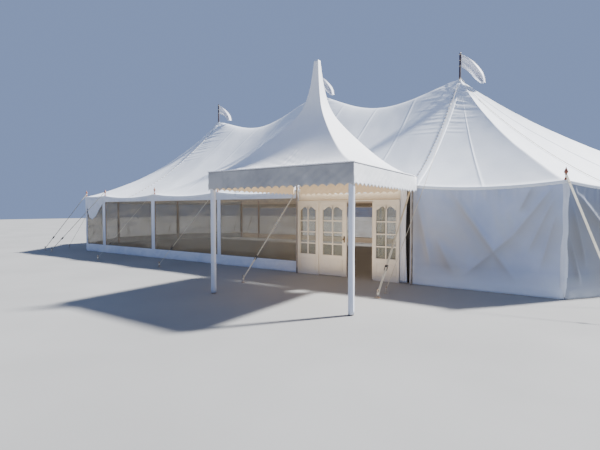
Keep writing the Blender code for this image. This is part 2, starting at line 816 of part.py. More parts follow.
def door_place(origin_x, inner_y, thickness):
    """Placement of a door piece: u runs along +X, v runs up, the outer face looks to -Y."""
    turn = Matrix.Rotation(math.radians(90), 4, "X")
    return Matrix.Translation((origin_x, inner_y - thickness / 2, 0.0)) @ turn


def glass_outline(low_u, high_u, inset):
    """A pane's outline with a low arched head."""
    outline = [(low_u + inset, GLASS_SILL + inset), (high_u - inset, GLASS_SILL + inset)]
    half = (high_u - low_u) / 2 - inset
    centre = (low_u + high_u) / 2
    for index in range(ARCH_STEPS + 1):
        share = 1 - 2 * index / ARCH_STEPS
        rise = GLASS_ARCH_RISE * (1 - share ** 2)
        outline.append((centre + half * share, GLASS_HEAD - inset - GLASS_ARCH_RISE + rise))
    return outline


def build_pane(name, low_u, high_u, place_x, inner_y, thickness):
    pane_y = inner_y - (thickness - GLASS_THICKNESS) / 2
    place = door_place(place_x, pane_y, GLASS_THICKNESS)
    outline = glass_outline(low_u, high_u, TOUCH)
    return slab(name, outline, [], GLASS_THICKNESS, place, GLASS)


def hinge_pieces(name, axis_x, side, lift):
    """Knuckles and plates of one side of both hinges; side is 1 when they reach to +X."""
    pieces = []
    for index, height in enumerate(HINGE_HEIGHTS):
        low = height + lift
        high = low + HINGE_KNUCKLE
        centre_low = (axis_x, HINGE_Y, low)
        centre_high = (axis_x, HINGE_Y, high)
        pieces.append(tool_rod(f"{name}_knuckle_{index}", centre_low, centre_high, HINGE_RADIUS, 12))
        far = axis_x + side * HINGE_PLATE
        low_x, high_x = sorted((axis_x, far))
        low_y = DOOR_INNER_Y - 0.001
        high_y = HINGE_Y - HINGE_RADIUS / 2
        pieces.append(tool_box(f"{name}_plate_{index}", (low_x, low_y, low), (high_x, high_y, high)))
    return pieces


def build_door_frame():
    left, right = 0.0, DOOR_SET_WIDTH
    door_left = DOORWAY_LEFT - DOOR_SET_LEFT
    door_right = DOORWAY_RIGHT - DOOR_SET_LEFT
    outline = [
        (left, 0.0),
        (door_left, 0.0),
        (door_left, DOORWAY_HEIGHT),
        (door_right, DOORWAY_HEIGHT),
        (door_right, 0.0),
        (right, 0.0),
        (right, DOOR_SET_HEIGHT),
        (left, DOOR_SET_HEIGHT),
    ]
    light_low = left + SIDE_LIGHT_STILE
    light_high = door_left - SIDE_LIGHT_STILE
    other_low = door_right + SIDE_LIGHT_STILE
    other_high = right - SIDE_LIGHT_STILE
    holes = [
        glass_outline(light_low, light_high, 0.0),
        glass_outline(other_low, other_high, 0.0),
    ]
    place = door_place(DOOR_SET_LEFT, DOOR_INNER_Y, DOOR_SET_DEPTH)
    frame = slab("door_frame", outline, holes, DOOR_SET_DEPTH, place, DOOR_PAINT)
    half_gap = LEAF_CLEARANCE / 2
    pieces = hinge_pieces("frame_left", DOORWAY_LEFT + half_gap, -1, 0.0)
    pieces += hinge_pieces("frame_right", DOORWAY_RIGHT - half_gap, 1, 0.0)
    combine(frame, pieces, "UNION")
    for name, low, high in (
        ("side_glass_left", light_low, light_high),
        ("side_glass_right", other_low, other_high),
    ):
        build_pane(name, low, high, DOOR_SET_LEFT, DOOR_INNER_Y, DOOR_SET_DEPTH)


def build_leaf(name, low_x, width, hinge_x, side, turn_deg):
    """One door leaf with its pane; side is 1 when the leaf reaches from its hinge to +X."""
    outline = rectangle(0.0, LEAF_FLOOR_GAP, width, DOORWAY_HEIGHT - LEAF_CLEARANCE)
    holes = [glass_outline(STILE_WIDTH, width - STILE_WIDTH, 0.0)]
    place = door_place(low_x, DOOR_INNER_Y, LEAF_THICKNESS)
    leaf = slab(name, outline, holes, LEAF_THICKNESS, place, DOOR_PAINT)
    pane = build_pane(f"{name}_glass", STILE_WIDTH, width - STILE_WIDTH, low_x,
                      DOOR_INNER_Y, LEAF_THICKNESS)
    knob_x = hinge_x + side * (width - STILE_WIDTH / 2)
    outer = (knob_x, DOOR_INNER_Y - LEAF_THICKNESS - KNOB_REACH, KNOB_HEIGHT)
    inner = (knob_x, DOOR_INNER_Y + KNOB_REACH, KNOB_HEIGHT)
    pieces = hinge_pieces(name, hinge_x, side, HINGE_KNUCKLE + TOUCH)
    pieces += [
        tool_rod(f"{name}_spindle", outer, inner, KNOB_RADIUS / 3, 8),
        tool_ball(f"{name}_knob_out", outer, KNOB_RADIUS),
        tool_ball(f"{name}_knob_in", inner, KNOB_RADIUS),
    ]
    combine(leaf, pieces, "UNION")
    swing = (
        Matrix.Translation((hinge_x, HINGE_Y, 0.0))
        @ Matrix.Rotation(math.radians(turn_deg), 4, "Z")
        @ Matrix.Translation((-hinge_x, -HINGE_Y, 0.0))
    )
    for piece in (leaf, pane, *pieces):
        piece.matrix_world = swing @ piece.matrix_world


def build_doors():
    build_door_frame()
    left_x = DOORWAY_LEFT + LEAF_CLEARANCE
    half_gap = LEAF_CLEARANCE / 2
    build_leaf("door_leaf_left", left_x, LEFT_LEAF_WIDTH, DOORWAY_LEFT + half_gap, 1, 0.0)
    right_x = DOORWAY_RIGHT - LEAF_CLEARANCE - RIGHT_LEAF_WIDTH
    hinge_x = DOORWAY_RIGHT - half_gap
    build_leaf("door_leaf_right", right_x, RIGHT_LEAF_WIDTH, hinge_x, -1, -RIGHT_LEAF_REST_DEG)


# Entrance canopy

def square_stations():
    """Points round a square of half side 1, anticlockwise from its front left corner."""
    corner = 1 - PORCH_CORNER_STEP / PORCH_HALF_WIDTH
    inner = [-1 + 2 * index / PORCH_SIDE_STEPS for index in range(1, PORCH_SIDE_STEPS)]
    alongs = [-1.0, -corner, *inner, corner]
    stations = [(along, -1.0) for along in alongs]
    stations += [(1.0, along) for along in alongs]
    stations += [(-along, 1.0) for along in alongs]
    stations += [(-1.0, -along) for along in alongs]
    return stations


def porch_height(level):
    """Height of the canopy where level is 1 at the eave and PORCH_TIP at the peak."""
    share = 1 - level
    return PORCH_EAVE + PORCH_RISE * share ** PORCH_CURVE + SPIRE_RISE * share ** SPIRE_CURVE


def valance_depth(u, v):
    """Depth of the valance: it is short at the rear, where the eave guys pass."""
    step = 2 / PORCH_SIDE_STEPS
    edge = PORCH_CORNER_STEP / PORCH_HALF_WIDTH
    near_rear = v > 1 - edge - 1e-6
    if near_rear and u < -1 + step + 1e-6:
        return VALANCE_SHORT
    if v > 1 - 1e-6 and u > 1 - step - 1e-6:
        return VALANCE_SHORT
    return VALANCE_DEPTH


def build_porch_canopy():
    stations = square_stations()
    around = len(stations)
    rows = PORCH_RINGS + 1
    bm = bmesh.new()
    bmesh.ops.create_grid(bm, x_segments=rows, y_segments=around, size=1.0)
    for vertex in bm.verts:
        row = round((vertex.co.x + 1) / 2 * rows)
        u, v = stations[round((vertex.co.y + 1) / 2 * around) % around]
        if row == 0:
            level, height = 1.0, PORCH_EAVE - valance_depth(u, v)
        else:
            outward_share = 1 - (row - 1) / PORCH_RINGS
            level = PORCH_TIP + (1 - PORCH_TIP) * outward_share ** PORCH_RING_SPACING
            height = porch_height(level)
        vertex.co = (
            PORCH_CENTRE_X + u * level * PORCH_HALF_WIDTH,
            PORCH_CENTRE_Y + v * level * PORCH_HALF_DEPTH,
            height,
        )
    bmesh.ops.remove_doubles(bm, verts=bm.verts, dist=0.00001)
    peak = PORCH_EAVE + PORCH_RISE
    top = [edge for edge in bm.edges if edge.is_boundary and edge.verts[0].co.z > peak]
    bmesh.ops.contextual_create(bm, geom=top)
    bmesh.ops.recalc_face_normals(bm, faces=bm.faces)
    bmesh.ops.triangulate(bm, faces=bm.faces)
    canopy = mesh_object("porch_canopy", bm, PORCH_CANVAS)
    shell = canopy.modifiers.new("cloth", "SOLIDIFY")
    shell.thickness = PORCH_CLOTH
    shell.offset = -1.0
    shell.use_even_offset = True
    return canopy


def build_porch_frame():
    """Posts, an eave ring, two crossed ties and the mast that stands on them."""
    left = PORCH_CENTRE_X - PORCH_HALF_WIDTH + PORCH_RING_INSET
    right = PORCH_CENTRE_X + PORCH_HALF_WIDTH - PORCH_RING_INSET
    front = PORCH_CENTRE_Y - PORCH_HALF_DEPTH + PORCH_RING_INSET
    rear = PORCH_CENTRE_Y + PORCH_HALF_DEPTH - PORCH_RING_INSET
    ring_top = PORCH_EAVE - PORCH_CLOTH - TOUCH
    ring_z = ring_top - PORCH_RAIL / 2
    half = PORCH_RAIL / 2
    outer = rectangle(left - half, front - half, right + half, rear + half)
    inner = rectangle(left + half, front + half, right - half, rear - half)
    place = Matrix.Translation((0.0, 0.0, ring_z))
    frame = slab("porch_frame", outer, [inner], PORCH_RAIL, place, PORCH_METAL)
    middle_x = (left + right) / 2
    middle_y = (front + rear) / 2
    pieces = []
    post_x = PORCH_HALF_WIDTH - PORCH_POST_INSET
    front_y = PORCH_CENTRE_Y - PORCH_HALF_DEPTH + PORCH_POST_INSET
    rear_y = PORCH_CENTRE_Y + PORCH_HALF_DEPTH - PORCH_REAR_POST_INSET
    rear_left_x = PORCH_CENTRE_X - PORCH_HALF_WIDTH + PORCH_REAR_LEFT_INSET
    rear_right_x = PORCH_CENTRE_X + PORCH_HALF_WIDTH - PORCH_REAR_RIGHT_INSET
    for label, x, y, radius in (
        ("front_left", PORCH_CENTRE_X - post_x, front_y, PORCH_POST_RADIUS),
        ("front_right", PORCH_CENTRE_X + post_x, front_y, PORCH_POST_RADIUS),
        ("rear_left", rear_left_x, rear_y, PORCH_REAR_POST_RADIUS),
        ("rear_right", rear_right_x, rear_y, PORCH_REAR_POST_RADIUS),
    ):
        top = (x, y, ring_z + half / 2)
        pieces.append(tool_rod(f"porch_post_{label}", (x, y, 0.0), top, radius, 12))
    for index, (low, high, lift) in enumerate((
        ((left, front), (right, rear), -PORCH_TIE_LIFT),
        ((right, front), (left, rear), PORCH_TIE_LIFT),
    )):
        start = (*low, ring_z + lift)
        end = (*high, ring_z + lift)
        pieces.append(tool_rod(f"porch_tie_{index}", start, end, PORCH_TIE_RADIUS, 8))
    mast_top = (PORCH_CENTRE_X, PORCH_CENTRE_Y, porch_height(PORCH_TIP) - PORCH_CLOTH - TOUCH)
    mast_foot = (middle_x, middle_y, ring_z - PORCH_MAST_DROP)
    pieces.append(tool_rod("porch_mast", mast_foot, mast_top, PORCH_MAST_RADIUS, 10, 0.1))
    return combine(frame, pieces, "UNION")


def main():
    build_roof()
    for index, (label, x, y) in enumerate(POLES):
        build_side_pole(index, label, x, y)
    build_kings()
    build_walls()
    build_doors()
    build_porch_canopy()
    build_porch_frame()


main()
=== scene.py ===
"""Looks of the marquee tent: cloth, webbing, timber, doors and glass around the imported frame.

Everything is in metres in the part's frame: +X along the front wall to the right,
+Y away from the front, +Z up, with the origin at the foot of the middle king pole.
"""
import math

import bpy
import bmesh
import numpy as np
from mathutils import Matrix, Vector


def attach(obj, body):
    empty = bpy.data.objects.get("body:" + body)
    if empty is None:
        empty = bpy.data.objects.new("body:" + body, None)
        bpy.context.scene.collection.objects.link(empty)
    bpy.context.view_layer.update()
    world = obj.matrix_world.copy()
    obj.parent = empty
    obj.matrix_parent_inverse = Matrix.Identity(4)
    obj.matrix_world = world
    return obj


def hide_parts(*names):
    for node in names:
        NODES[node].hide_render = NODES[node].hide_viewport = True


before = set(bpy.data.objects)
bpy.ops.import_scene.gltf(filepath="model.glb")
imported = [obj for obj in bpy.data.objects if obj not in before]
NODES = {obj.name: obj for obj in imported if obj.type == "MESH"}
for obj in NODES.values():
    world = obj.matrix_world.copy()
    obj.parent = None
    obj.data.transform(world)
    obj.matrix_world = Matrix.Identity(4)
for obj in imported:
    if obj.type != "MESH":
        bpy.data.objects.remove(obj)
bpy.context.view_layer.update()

# Plan and heights of the tent, as in the part
HALF_WIDTH = 5.12
KING_SPACING = 5.77
RIGHT_APEX = 6.30
LEFT_APEX = 6.20
MID_APEX = 6.66
EAVE_HEIGHT = 2.40
CORNER_REACH = 3.05
FRONT_BAY = 3.285
END_FACETS = 3
KING_XS = (-KING_SPACING, 0.0, KING_SPACING)
KING_LABELS = ("left", "middle", "right")
KING_APEXES = (LEFT_APEX, MID_APEX, RIGHT_APEX)
CORNER_X = KING_SPACING + CORNER_REACH
END_RADIUS = math.hypot(CORNER_REACH, HALF_WIDTH)
CORNER_ANGLE = math.atan2(HALF_WIDTH, CORNER_REACH)

# Roof cloth, as in the part, and the finer shape that the cloth takes
RIDGE_SAG = 0.74
RIDGE_SHOULDER = 1.6
RIDGE_ROUNDING = 0.55
ROOF_HOLLOW = 0.36
RIGHT_HOLLOW = 0.28
LEFT_HOLLOW = 0.72
LEFT_HOLLOW_SPREAD = 0.5
EAVE_SAG = 0.10
EAVE_BAND = 0.05
POLE_FLAT = 0.045
CLOTH = 0.003
EAVE_ROLL = (
    (0.030, 0.000), (0.044, -0.003), (0.051, -0.012), (0.053, -0.028),
    (0.053, -0.048), (0.050, -0.064), (0.043, -0.071), (0.034, -0.068),
)
ROOF_FINE_STEP = 0.04
ROOF_COARSE_STEP = 0.14
ROOF_FINE_REACH = 2.5
COLUMN_STEP = 0.08
PANELS_PER_SPAN = 4
WELT_HALF = 0.014
WELT_SLOPE = 0.006
WELT_RISE = 0.004
KING_CLEAR = 0.05
WRINKLES = 15
CAP_REACH = 0.44
CAP_RISE = 0.012
FLAP_HALF = 0.085
FLAP_RISE = 0.018
FLAP_ROWS = 150
SEAM_START = 0.16
TOGGLES = 34
TOGGLE_RADIUS = 0.0065
TOGGLE_LOOP_RADIUS = 0.0035
TENSION_POLE = 2
CAP_RADII = (0.040, 0.042, 0.05, 0.07, 0.11, 0.17, 0.24, 0.31, 0.38, CAP_REACH, CAP_REACH + 0.008)
CAP_SIDES = 96

# Thickness of the lighter cloths and of the clear sheet
FLAP_CLOTH = 0.004
STRIP_CLOTH = 0.003
VALANCE_CLOTH = 0.0025
THIN_CLOTH = 0.002
PENNANT_CLOTH = 0.0015
CLEAR_FILM = 0.0008

# Side poles, king poles and their fittings
POLE_RADIUS = 0.03
FINIAL_RADIUS = 0.032
KING_RADIUS = 0.065
STAFF_RADIUS = 0.034
STAFF_RISE = 0.95
COLLAR_RADIUS = 0.13
COLLAR_DROP = 0.16
COLLAR_HEIGHT = 0.05
KING_BAND_RADIUS = 0.069
POLE_TOP_DROP = 0.0085
FERRULE_RADIUS = 0.0305
FERRULE_LENGTH = 0.07
FLAG_DROOPS = (0.84, 0.95, 1.10)
PENNANT_GRID = (50, 48)
PENNANT_TIE_DROPS = (0.01, 0.21, 0.41)

# Profile of a finial from its foot up: shares of its radius and heights above the eave
FINIAL_SHARES = (
    (0.90, 0.000), (1.00, 0.006), (1.00, 0.020), (0.80, 0.027), (0.86, 0.034), (0.50, 0.050),
    (0.42, 0.070), (0.42, 0.104), (0.70, 0.112), (0.74, 0.120), (0.60, 0.127), (0.95, 0.140),
    (1.18, 0.153), (1.20, 0.163), (1.08, 0.178), (0.84, 0.196), (0.60, 0.214), (0.40, 0.232),
    (0.24, 0.248), (0.12, 0.260), (0.04, 0.268),
)

# Guys of flat webbing
WEBBING_WIDTH = 0.05
STRAP_THICKNESS = 0.0036
GUY_CLEARANCE = 0.03
GUY_REACH = 1.95
EAVE_OVERHANG = 0.052
RATCHET_PLACE = 0.80
STAKE_RADIUS = 0.02
STAKE_HEIGHT = 0.18
STAKE_PLATE_RADIUS = 0.065
STAKE_TIE_HEIGHT = 0.09
FRONT_STAKES = (
    (-1.68, -1.00), (-2.10, -1.20), (-1.06, -1.64), (-1.00, -1.57),
    (-0.33, -2.10), (-0.12, -1.94), (0.80, -1.70),
)
FRONT_TIE_SHIFTS = (0.0, 0.0, 0.0, 0.0, -0.024, -0.024, 0.0)

# Outlines, (along, up), of a ratchet's side plates and of its handle's arms, and its wheels
RATCHET_PLATE = (
    (-0.070, -0.015), (0.052, -0.015), (0.068, -0.004), (0.064, 0.004),
    (0.034, 0.013), (-0.012, 0.013), (-0.060, -0.002), (-0.070, -0.006),
)
RATCHET_ARM = ((-0.068, 0.009), (-0.060, 0.0165), (0.010, 0.0100), (0.016, 0.002), (0.004, -0.004))
RATCHET_AXLE = (0.006, 0.001)
RATCHET_TOOTH_RADII = (0.0125, 0.0155)
RATCHET_TEETH = 16
SPOOL_RADIUS = 0.0125

# Walls and windows
WALL_INNER = POLE_RADIUS + 0.0003
WINDOW_WALL_INNER = WALL_INNER + 0.0023
WALL_CLOTH = 0.004
WINDOW_SILL = 0.32
WINDOW_HEAD = 2.14
WINDOW_MARGIN = 0.10
BACK_WINDOW_HEAD = 1.95
WALL_HEAD_DROP = 0.013
LEAST_CUT_SHARE = 0.3001
FRONT_STRIPS = ((0.165, 0.035), (0.165, 0.035), (-0.01, 0.17))
SOLID_WALL_LEFT = 5.70
WALL_ROW_STEP = 0.04
SOLID_COLUMN_STEP = 0.03
WINDOW_WALL_COLUMN_STEP = 0.045
CLEAR_COLUMN_STEP = 0.08
CLEAR_ROWS = 26
CLEAR_LAP = 0.035
MUD_FLAP_TOP = 0.19
STRIP_REACHES = (-0.085, -0.083, -0.05, -0.02, 0.0, 0.02, 0.05, 0.083, 0.085)
STRIP_HEM = 0.010
STRIP_ROWS = 32
CURTAIN_GRID = (60, 30)
SLIT_SHADE_GRID = (40, 16)
SWAG_SPAN = (0.09, 1.38)
SWAG_GRID = (90, 24)
SWAG_TOP = 2.29
SWAG_XS = (-8.73, -8.69, -8.54, -8.30, -8.00, -7.74, -7.47, -7.44)
SWAG_LOWS = (2.14, 1.98, 1.50, 1.387, 1.54, 1.84, 2.07, 2.12)

# Storm ropes, each as (name, points): from a king pole's head over the eave to a stake
ROPE_RADIUS = 0.006
ROPE_SIDES = 9
ROPE_STEP = 0.05
ROPE_LIFT = 0.02
STORM_ROPES = (
    ("right_front", ((5.79, -0.045, 6.37), (6.06, -5.185, 2.43), (5.63, -6.53, 0.10))),
    ("right_end", ((5.81, -0.02, 6.37), (9.77, -4.12, 2.40), (10.75, -4.95, 0.10))),
    ("left_end", ((-5.81, -0.02, 6.27), (-9.77, -4.12, 2.40), (-10.75, -4.95, 0.10))),
)

# Door set
DOOR_SET_LEFT = 2.465
DOOR_SET_WIDTH = 2.99
DOOR_SET_HEIGHT = 2.06
SIDE_LIGHT_WIDTH = 0.69
SIDE_LIGHT_STILE = 0.085
DOOR_SET_DEPTH = 0.07
LEAF_THICKNESS = 0.04
LEAF_CLEARANCE = 0.006
LEAF_DIFFERENCE = 0.088
STILE_WIDTH = 0.12
GLASS_SILL = 0.56
GLASS_TOP = 1.96
BAR_WIDTH = 0.030
HEAD_BAND = 0.16
HEAD_RISE = 0.082
PANEL_LOW = 0.13
HINGE_OFFSET = 0.014
RIGHT_LEAF_REST_DEG = 92.0
KNOB_HEIGHT = 1.02
KNOB_RADIUS = 0.024
KNOB_REACH = 0.055
KNOB_FLATNESS = 0.94
KNOB_GRID = (24, 14)
LOCK_HALF = 0.020
LOCK_SPAN = (0.93, 1.10)
LOCK_RISE = 0.004
STEM_RADIUS = 0.0095
DOOR_INNER_Y = -(HALF_WIDTH + WALL_INNER)
DOOR_SET_RIGHT = DOOR_SET_LEFT + DOOR_SET_WIDTH

# Distance from the middle of the tent of the near-black sheet in the slit beside the doors, painted shade for
# the dark gap
SLIT_SHADE_PLACE = 0.065 - HALF_WIDTH

# Entrance canopy
PORCH_CENTRE = (KING_SPACING - FRONT_BAY / 2, -6.94)
PORCH_HALF_WIDTH = 1.70
PORCH_HALF_DEPTH = 1.68
PORCH_EAVE = 2.61
PORCH_RISE = 1.70
PORCH_CURVE = 1.47
SPIRE_RISE = 1.65
SPIRE_CURVE = 20.0
PORCH_TIP = 0.03
VALANCE_DEPTH = 0.40
VALANCE_SHORT = 0.03
SCALLOP_PITCH = 0.17
SCALLOP_DEPTH = 0.045
PORCH_POST_INSET = 0.065
SLEEVE_RADIUS = 0.048
SLEEVE_GRID = (52, 36)
PORCH_SIDE_STEPS = 72
PORCH_ROWS = 60
VALANCE_SIDE_STEPS = 220
VALANCE_ROWS = 12
LIP_SIDE_STEPS = 200
LIP_PITCH = 0.062
ON_EDGE = 0.999999

# Camera, at the photograph's place and angle
CAMERA_PLACE = (8.677, -14.635, 1.798)
CAMERA_YAW = math.radians(33.07)
CAMERA_PITCH = math.radians(-2.165)
CAMERA_LENS = 23.63

# Light: a key from the right, a cool fill all round and a warm bounce under the canopy
KEY_TOWARDS = (0.46, 0.58, 0.67)
KEY_STRENGTH = 14.0
FILL_COLOUR = (0.38, 0.52, 0.90)
FILL_STRENGTH = 0.62
BOUNCE_POWER = 52.0
BOUNCE_SIZE = (2.4, 1.4)


# Camera, light and floor

def make_camera():
    data = bpy.data.cameras.new("camera")
    data.lens = CAMERA_LENS
    data.sensor_width = 36.0
    data.clip_end = 300.0
    camera = add_object("camera", data)
    camera.location = CAMERA_PLACE
    camera.rotation_euler = (math.pi / 2 + CAMERA_PITCH, 0.0, CAMERA_YAW)
    bpy.context.scene.camera = camera


def make_light():
    world = bpy.data.worlds.new("studio")
    world.use_nodes = True
    background = world.node_tree.nodes["Background"]
    background.inputs["Color"].default_value = (*FILL_COLOUR, 1.0)
    background.inputs["Strength"].default_value = FILL_STRENGTH
    bpy.context.scene.world = world
    lamp = bpy.data.lights.new("key", "SUN")
    lamp.energy = KEY_STRENGTH
    lamp.angle = math.radians(4)
    lamp.color = (1.0, 0.985, 0.96)
    key = add_object("key", lamp)
    key.rotation_euler = Vector(KEY_TOWARDS).to_track_quat("Z", "Y").to_euler()
    lamp = bpy.data.lights.new("bounce", "AREA")
    lamp.energy = BOUNCE_POWER
    lamp.shape = "RECTANGLE"
    lamp.size, lamp.size_y = BOUNCE_SIZE
    lamp.color = (1.0, 0.80, 0.56)
    bounce = add_object("bounce", lamp)
    bounce.location = (PORCH_CENTRE[0], PORCH_CENTRE[1] + 0.3, 0.02)
    bounce.rotation_euler = (math.pi, 0.0, 0.0)


def make_floor():
    bpy.ops.mesh.primitive_plane_add(size=160.0, location=(0.0, 0.0, -0.002))
    floor = bpy.context.object
    floor.name = "floor"
    floor.data.materials.append(floor_material())


# Materials

class Paint:
    """A Principled material whose nodes are added one by one."""

    def __init__(self, name, colour, roughness, metallic=0.0):
        self.material = bpy.data.materials.new(name)
        self.material.use_nodes = True
        self.tree = self.material.node_tree
        self.shader = self.tree.nodes["Principled BSDF"]
        self.set("Base Color", (*colour, 1.0))
        self.set("Roughness", roughness)
        self.set("Metallic", metallic)
        self.height = None

    def set(self, socket, value):
        self.shader.inputs[socket].default_value = value

    def node(self, kind, **values):
        node = self.tree.nodes.new(kind)
        for key, value in values.items():
            setattr(node, key, value)
        return node

    def link(self, source, target):
        self.tree.links.new(source, target)

    def place(self, scale=(1.0, 1.0, 1.0)):
        """Object coordinates, stretched."""
        coordinates = self.node("ShaderNodeTexCoord")
        mapping = self.node("ShaderNodeMapping")
        mapping.inputs["Scale"].default_value = scale
        self.link(coordinates.outputs["Object"], mapping.inputs["Vector"])
        return mapping.outputs["Vector"]

    def noise(self, scale, detail=4.0, stretch=(1.0, 1.0, 1.0), distortion=0.0):
        node = self.node("ShaderNodeTexNoise")
        node.inputs["Scale"].default_value = scale
        node.inputs["Detail"].default_value = detail
        node.inputs["Distortion"].default_value = distortion
        self.link(self.place(stretch), node.inputs["Vector"])
        return node.outputs["Fac"]

    def wave(self, scale, direction):
        node = self.node("ShaderNodeTexWave", bands_direction=direction)
        node.inputs["Scale"].default_value = scale
        self.link(self.place(), node.inputs["Vector"])
        return node.outputs["Fac"]

    def above(self, low, high):
        """Zero below one height, one above another."""
        parts = self.node("ShaderNodeSeparateXYZ")
        self.link(self.place(), parts.inputs["Vector"])
        share = self.node("ShaderNodeMapRange")
        share.inputs["From Min"].default_value = low
        share.inputs["From Max"].default_value = high
        self.link(parts.outputs["Z"], share.inputs["Value"])
        return share.outputs["Result"]

    def ramp(self, source, stops):
        node = self.node("ShaderNodeValToRGB")
        elements = node.color_ramp.elements
        while len(elements) < len(stops):
            elements.new(0.5)
        for element, (position, colour) in zip(elements, stops):
            element.position = position
            element.color = (*colour, 1.0)
        self.link(source, node.inputs["Fac"])
        return node.outputs["Color"]

    def mask(self, source, low, high, most):
        """Black below one value of the source, a grey above another."""
        return self.ramp(source, ((low, (0.0, 0.0, 0.0)), (high, (most, most, most))))

    def mix(self, factor, first, second):
        """Mix two colours; each may be a socket or a colour, the factor a socket or a number."""
        node = self.node("ShaderNodeMix", data_type="RGBA")
        for socket, value in ((node.inputs[0], factor), (node.inputs[6], first), (node.inputs[7], second)):
            if isinstance(value, bpy.types.NodeSocket):
                self.link(value, socket)
            elif isinstance(value, tuple):
                socket.default_value = (*value, 1.0)
            else:
                socket.default_value = value
        return node.outputs[2]

    def colour(self, socket):
        self.link(socket, self.shader.inputs["Base Color"])

    def roughness(self, source, low, high):
        node = self.node("ShaderNodeMapRange")
        node.inputs["To Min"].default_value = low
        node.inputs["To Max"].default_value = high
        self.link(source, node.inputs["Value"])
        self.link(node.outputs["Result"], self.shader.inputs["Roughness"])

    def bump(self, source, distance, strength=1.0):
        """Add one layer of relief over the layers that are already there."""
        node = self.node("ShaderNodeBump")
        node.inputs["Distance"].default_value = distance
        node.inputs["Strength"].default_value = strength
        self.link(source, node.inputs["Height"])
        if self.height is not None:
            self.link(self.height, node.inputs["Normal"])
        self.height = node.outputs["Normal"]
        self.link(self.height, self.shader.inputs["Normal"])

    def weave(self):
        """The fine threads of canvas, both ways."""
        for direction in ("X", "Z"):
            self.bump(self.wave(520.0, direction), 0.0006, 0.20)


def floor_material():
    paint = Paint("floor_pale", (0.32, 0.32, 0.315), 0.85)
    cloud = paint.noise(0.35, 5.0)
    paint.colour(paint.ramp(cloud, ((0.3, (0.29, 0.29, 0.285)), (0.7, (0.34, 0.34, 0.335)))))
    paint.bump(paint.noise(40.0, 3.0), 0.002, 0.3)
    return paint.material


def coated_cloth(name, light, shade, sheen=0.15, patch_scale=0.7, glow=0.0):
    """Coated canvas: cloudy tone, faint streaks down the slope, a fine weave and soft dents; glow adds
    emission, painted light that stands for the warm light coming through the cloth.
    """
    paint = Paint(name, light, 0.6)
    cloud = paint.noise(patch_scale, 5.0, distortion=0.4)
    streak = paint.noise(3.2, 3.0, stretch=(2.6, 2.6, 0.35))
    base = paint.ramp(cloud, ((0.32, shade), (0.62, light)))
    worn = tuple(0.90 * value for value in shade)
    lines = paint.mask(streak, 0.56, 0.80, 0.35)
    paint.colour(paint.mix(lines, base, worn))
    paint.roughness(cloud, 0.50, 0.66)
    paint.set("Sheen Weight", sheen)
    paint.set("Specular IOR Level", 0.35)
    if glow:
        paint.set("Emission Color", (*light, 1.0))
        paint.set("Emission Strength", glow)
    paint.bump(paint.noise(9.0, 4.0), 0.004, 0.35)
    paint.weave()
    return paint.material


def wall_cloth(name, shade_scale=1.0):
    """Wall canvas with painted shade: cool grey blue, warm patches of painted light coming through, painted
    shade below the folds and lighter along the foot; a scale below one darkens every colour for a more shaded
    copy.
    """
    def toned(*colour):
        return tuple(shade_scale * value for value in colour)

    paint = Paint(name, toned(0.62, 0.66, 0.76), 0.65)
    cloud = paint.noise(0.55, 3.0, stretch=(1.0, 1.0, 0.7), distortion=0.8)
    patches = paint.noise(1.3, 4.0)
    cool = paint.ramp(patches, ((0.35, toned(0.44, 0.52, 0.71)), (0.7, toned(0.56, 0.63, 0.79))))
    warm = paint.mask(cloud, 0.52, 0.68, 0.75)
    base = paint.mix(warm, cool, toned(0.58, 0.58, 0.57))
    fold = paint.node("ShaderNodeAttribute", attribute_name="fold")
    shaded = paint.mix(fold.outputs["Fac"], base, toned(0.40, 0.40, 0.41))
    paint.colour(paint.mix(paint.above(0.05, 0.50), toned(0.84, 0.90, 0.99), shaded))
    paint.roughness(cloud, 0.55, 0.72)
    paint.set("Sheen Weight", 0.12)
    paint.set("Specular IOR Level", 0.3)
    paint.bump(paint.noise(7.0, 4.0, stretch=(1.0, 1.0, 0.5)), 0.005, 0.35)
    paint.weave()
    return paint.material


def clear_sheet(name):
    """Clear flexible sheet: low waves, darker streaks up and down it and a warm brown colour, painted shade
    that stands for the dim inside seen through it.
    """
    paint = Paint(name, (0.42, 0.36, 0.28), 0.08)
    haze = paint.noise(0.9, 4.0, stretch=(1.0, 1.0, 1.6), distortion=1.2)
    streak = paint.noise(5.0, 3.0, stretch=(1.0, 1.0, 0.10), distortion=0.4)
    inside_shade = paint.ramp(haze, ((0.35, (0.30, 0.255, 0.16)), (0.70, (0.37, 0.32, 0.22))))
    dark_streaks = paint.mask(streak, 0.5, 0.7, 0.35)
    paint.colour(paint.mix(dark_streaks, inside_shade, (0.22, 0.16, 0.11)))
    film = paint.ramp(haze, ((0.40, (0.40, 0.40, 0.40)), (0.78, (0.54, 0.54, 0.54))))
    paint.link(film, paint.shader.inputs["Alpha"])
    paint.set("IOR", 1.5)
    paint.roughness(haze, 0.04, 0.14)
    paint.bump(paint.noise(1.8, 2.0, stretch=(1.0, 1.0, 2.0)), 0.02, 0.30)
    return paint.material


def pane_glass(name):
    paint = Paint(name, (0.42, 0.46, 0.42), 0.03)
    haze = paint.noise(2.2, 3.0)
    paint.colour(paint.ramp(haze, ((0.4, (0.34, 0.38, 0.34)), (0.7, (0.48, 0.52, 0.47)))))
    paint.roughness(haze, 0.02, 0.06)
    paint.set("Alpha", 0.30)
    paint.set("IOR", 1.5)
    paint.bump(paint.noise(3.0, 1.0), 0.004, 0.2)
    return paint.material


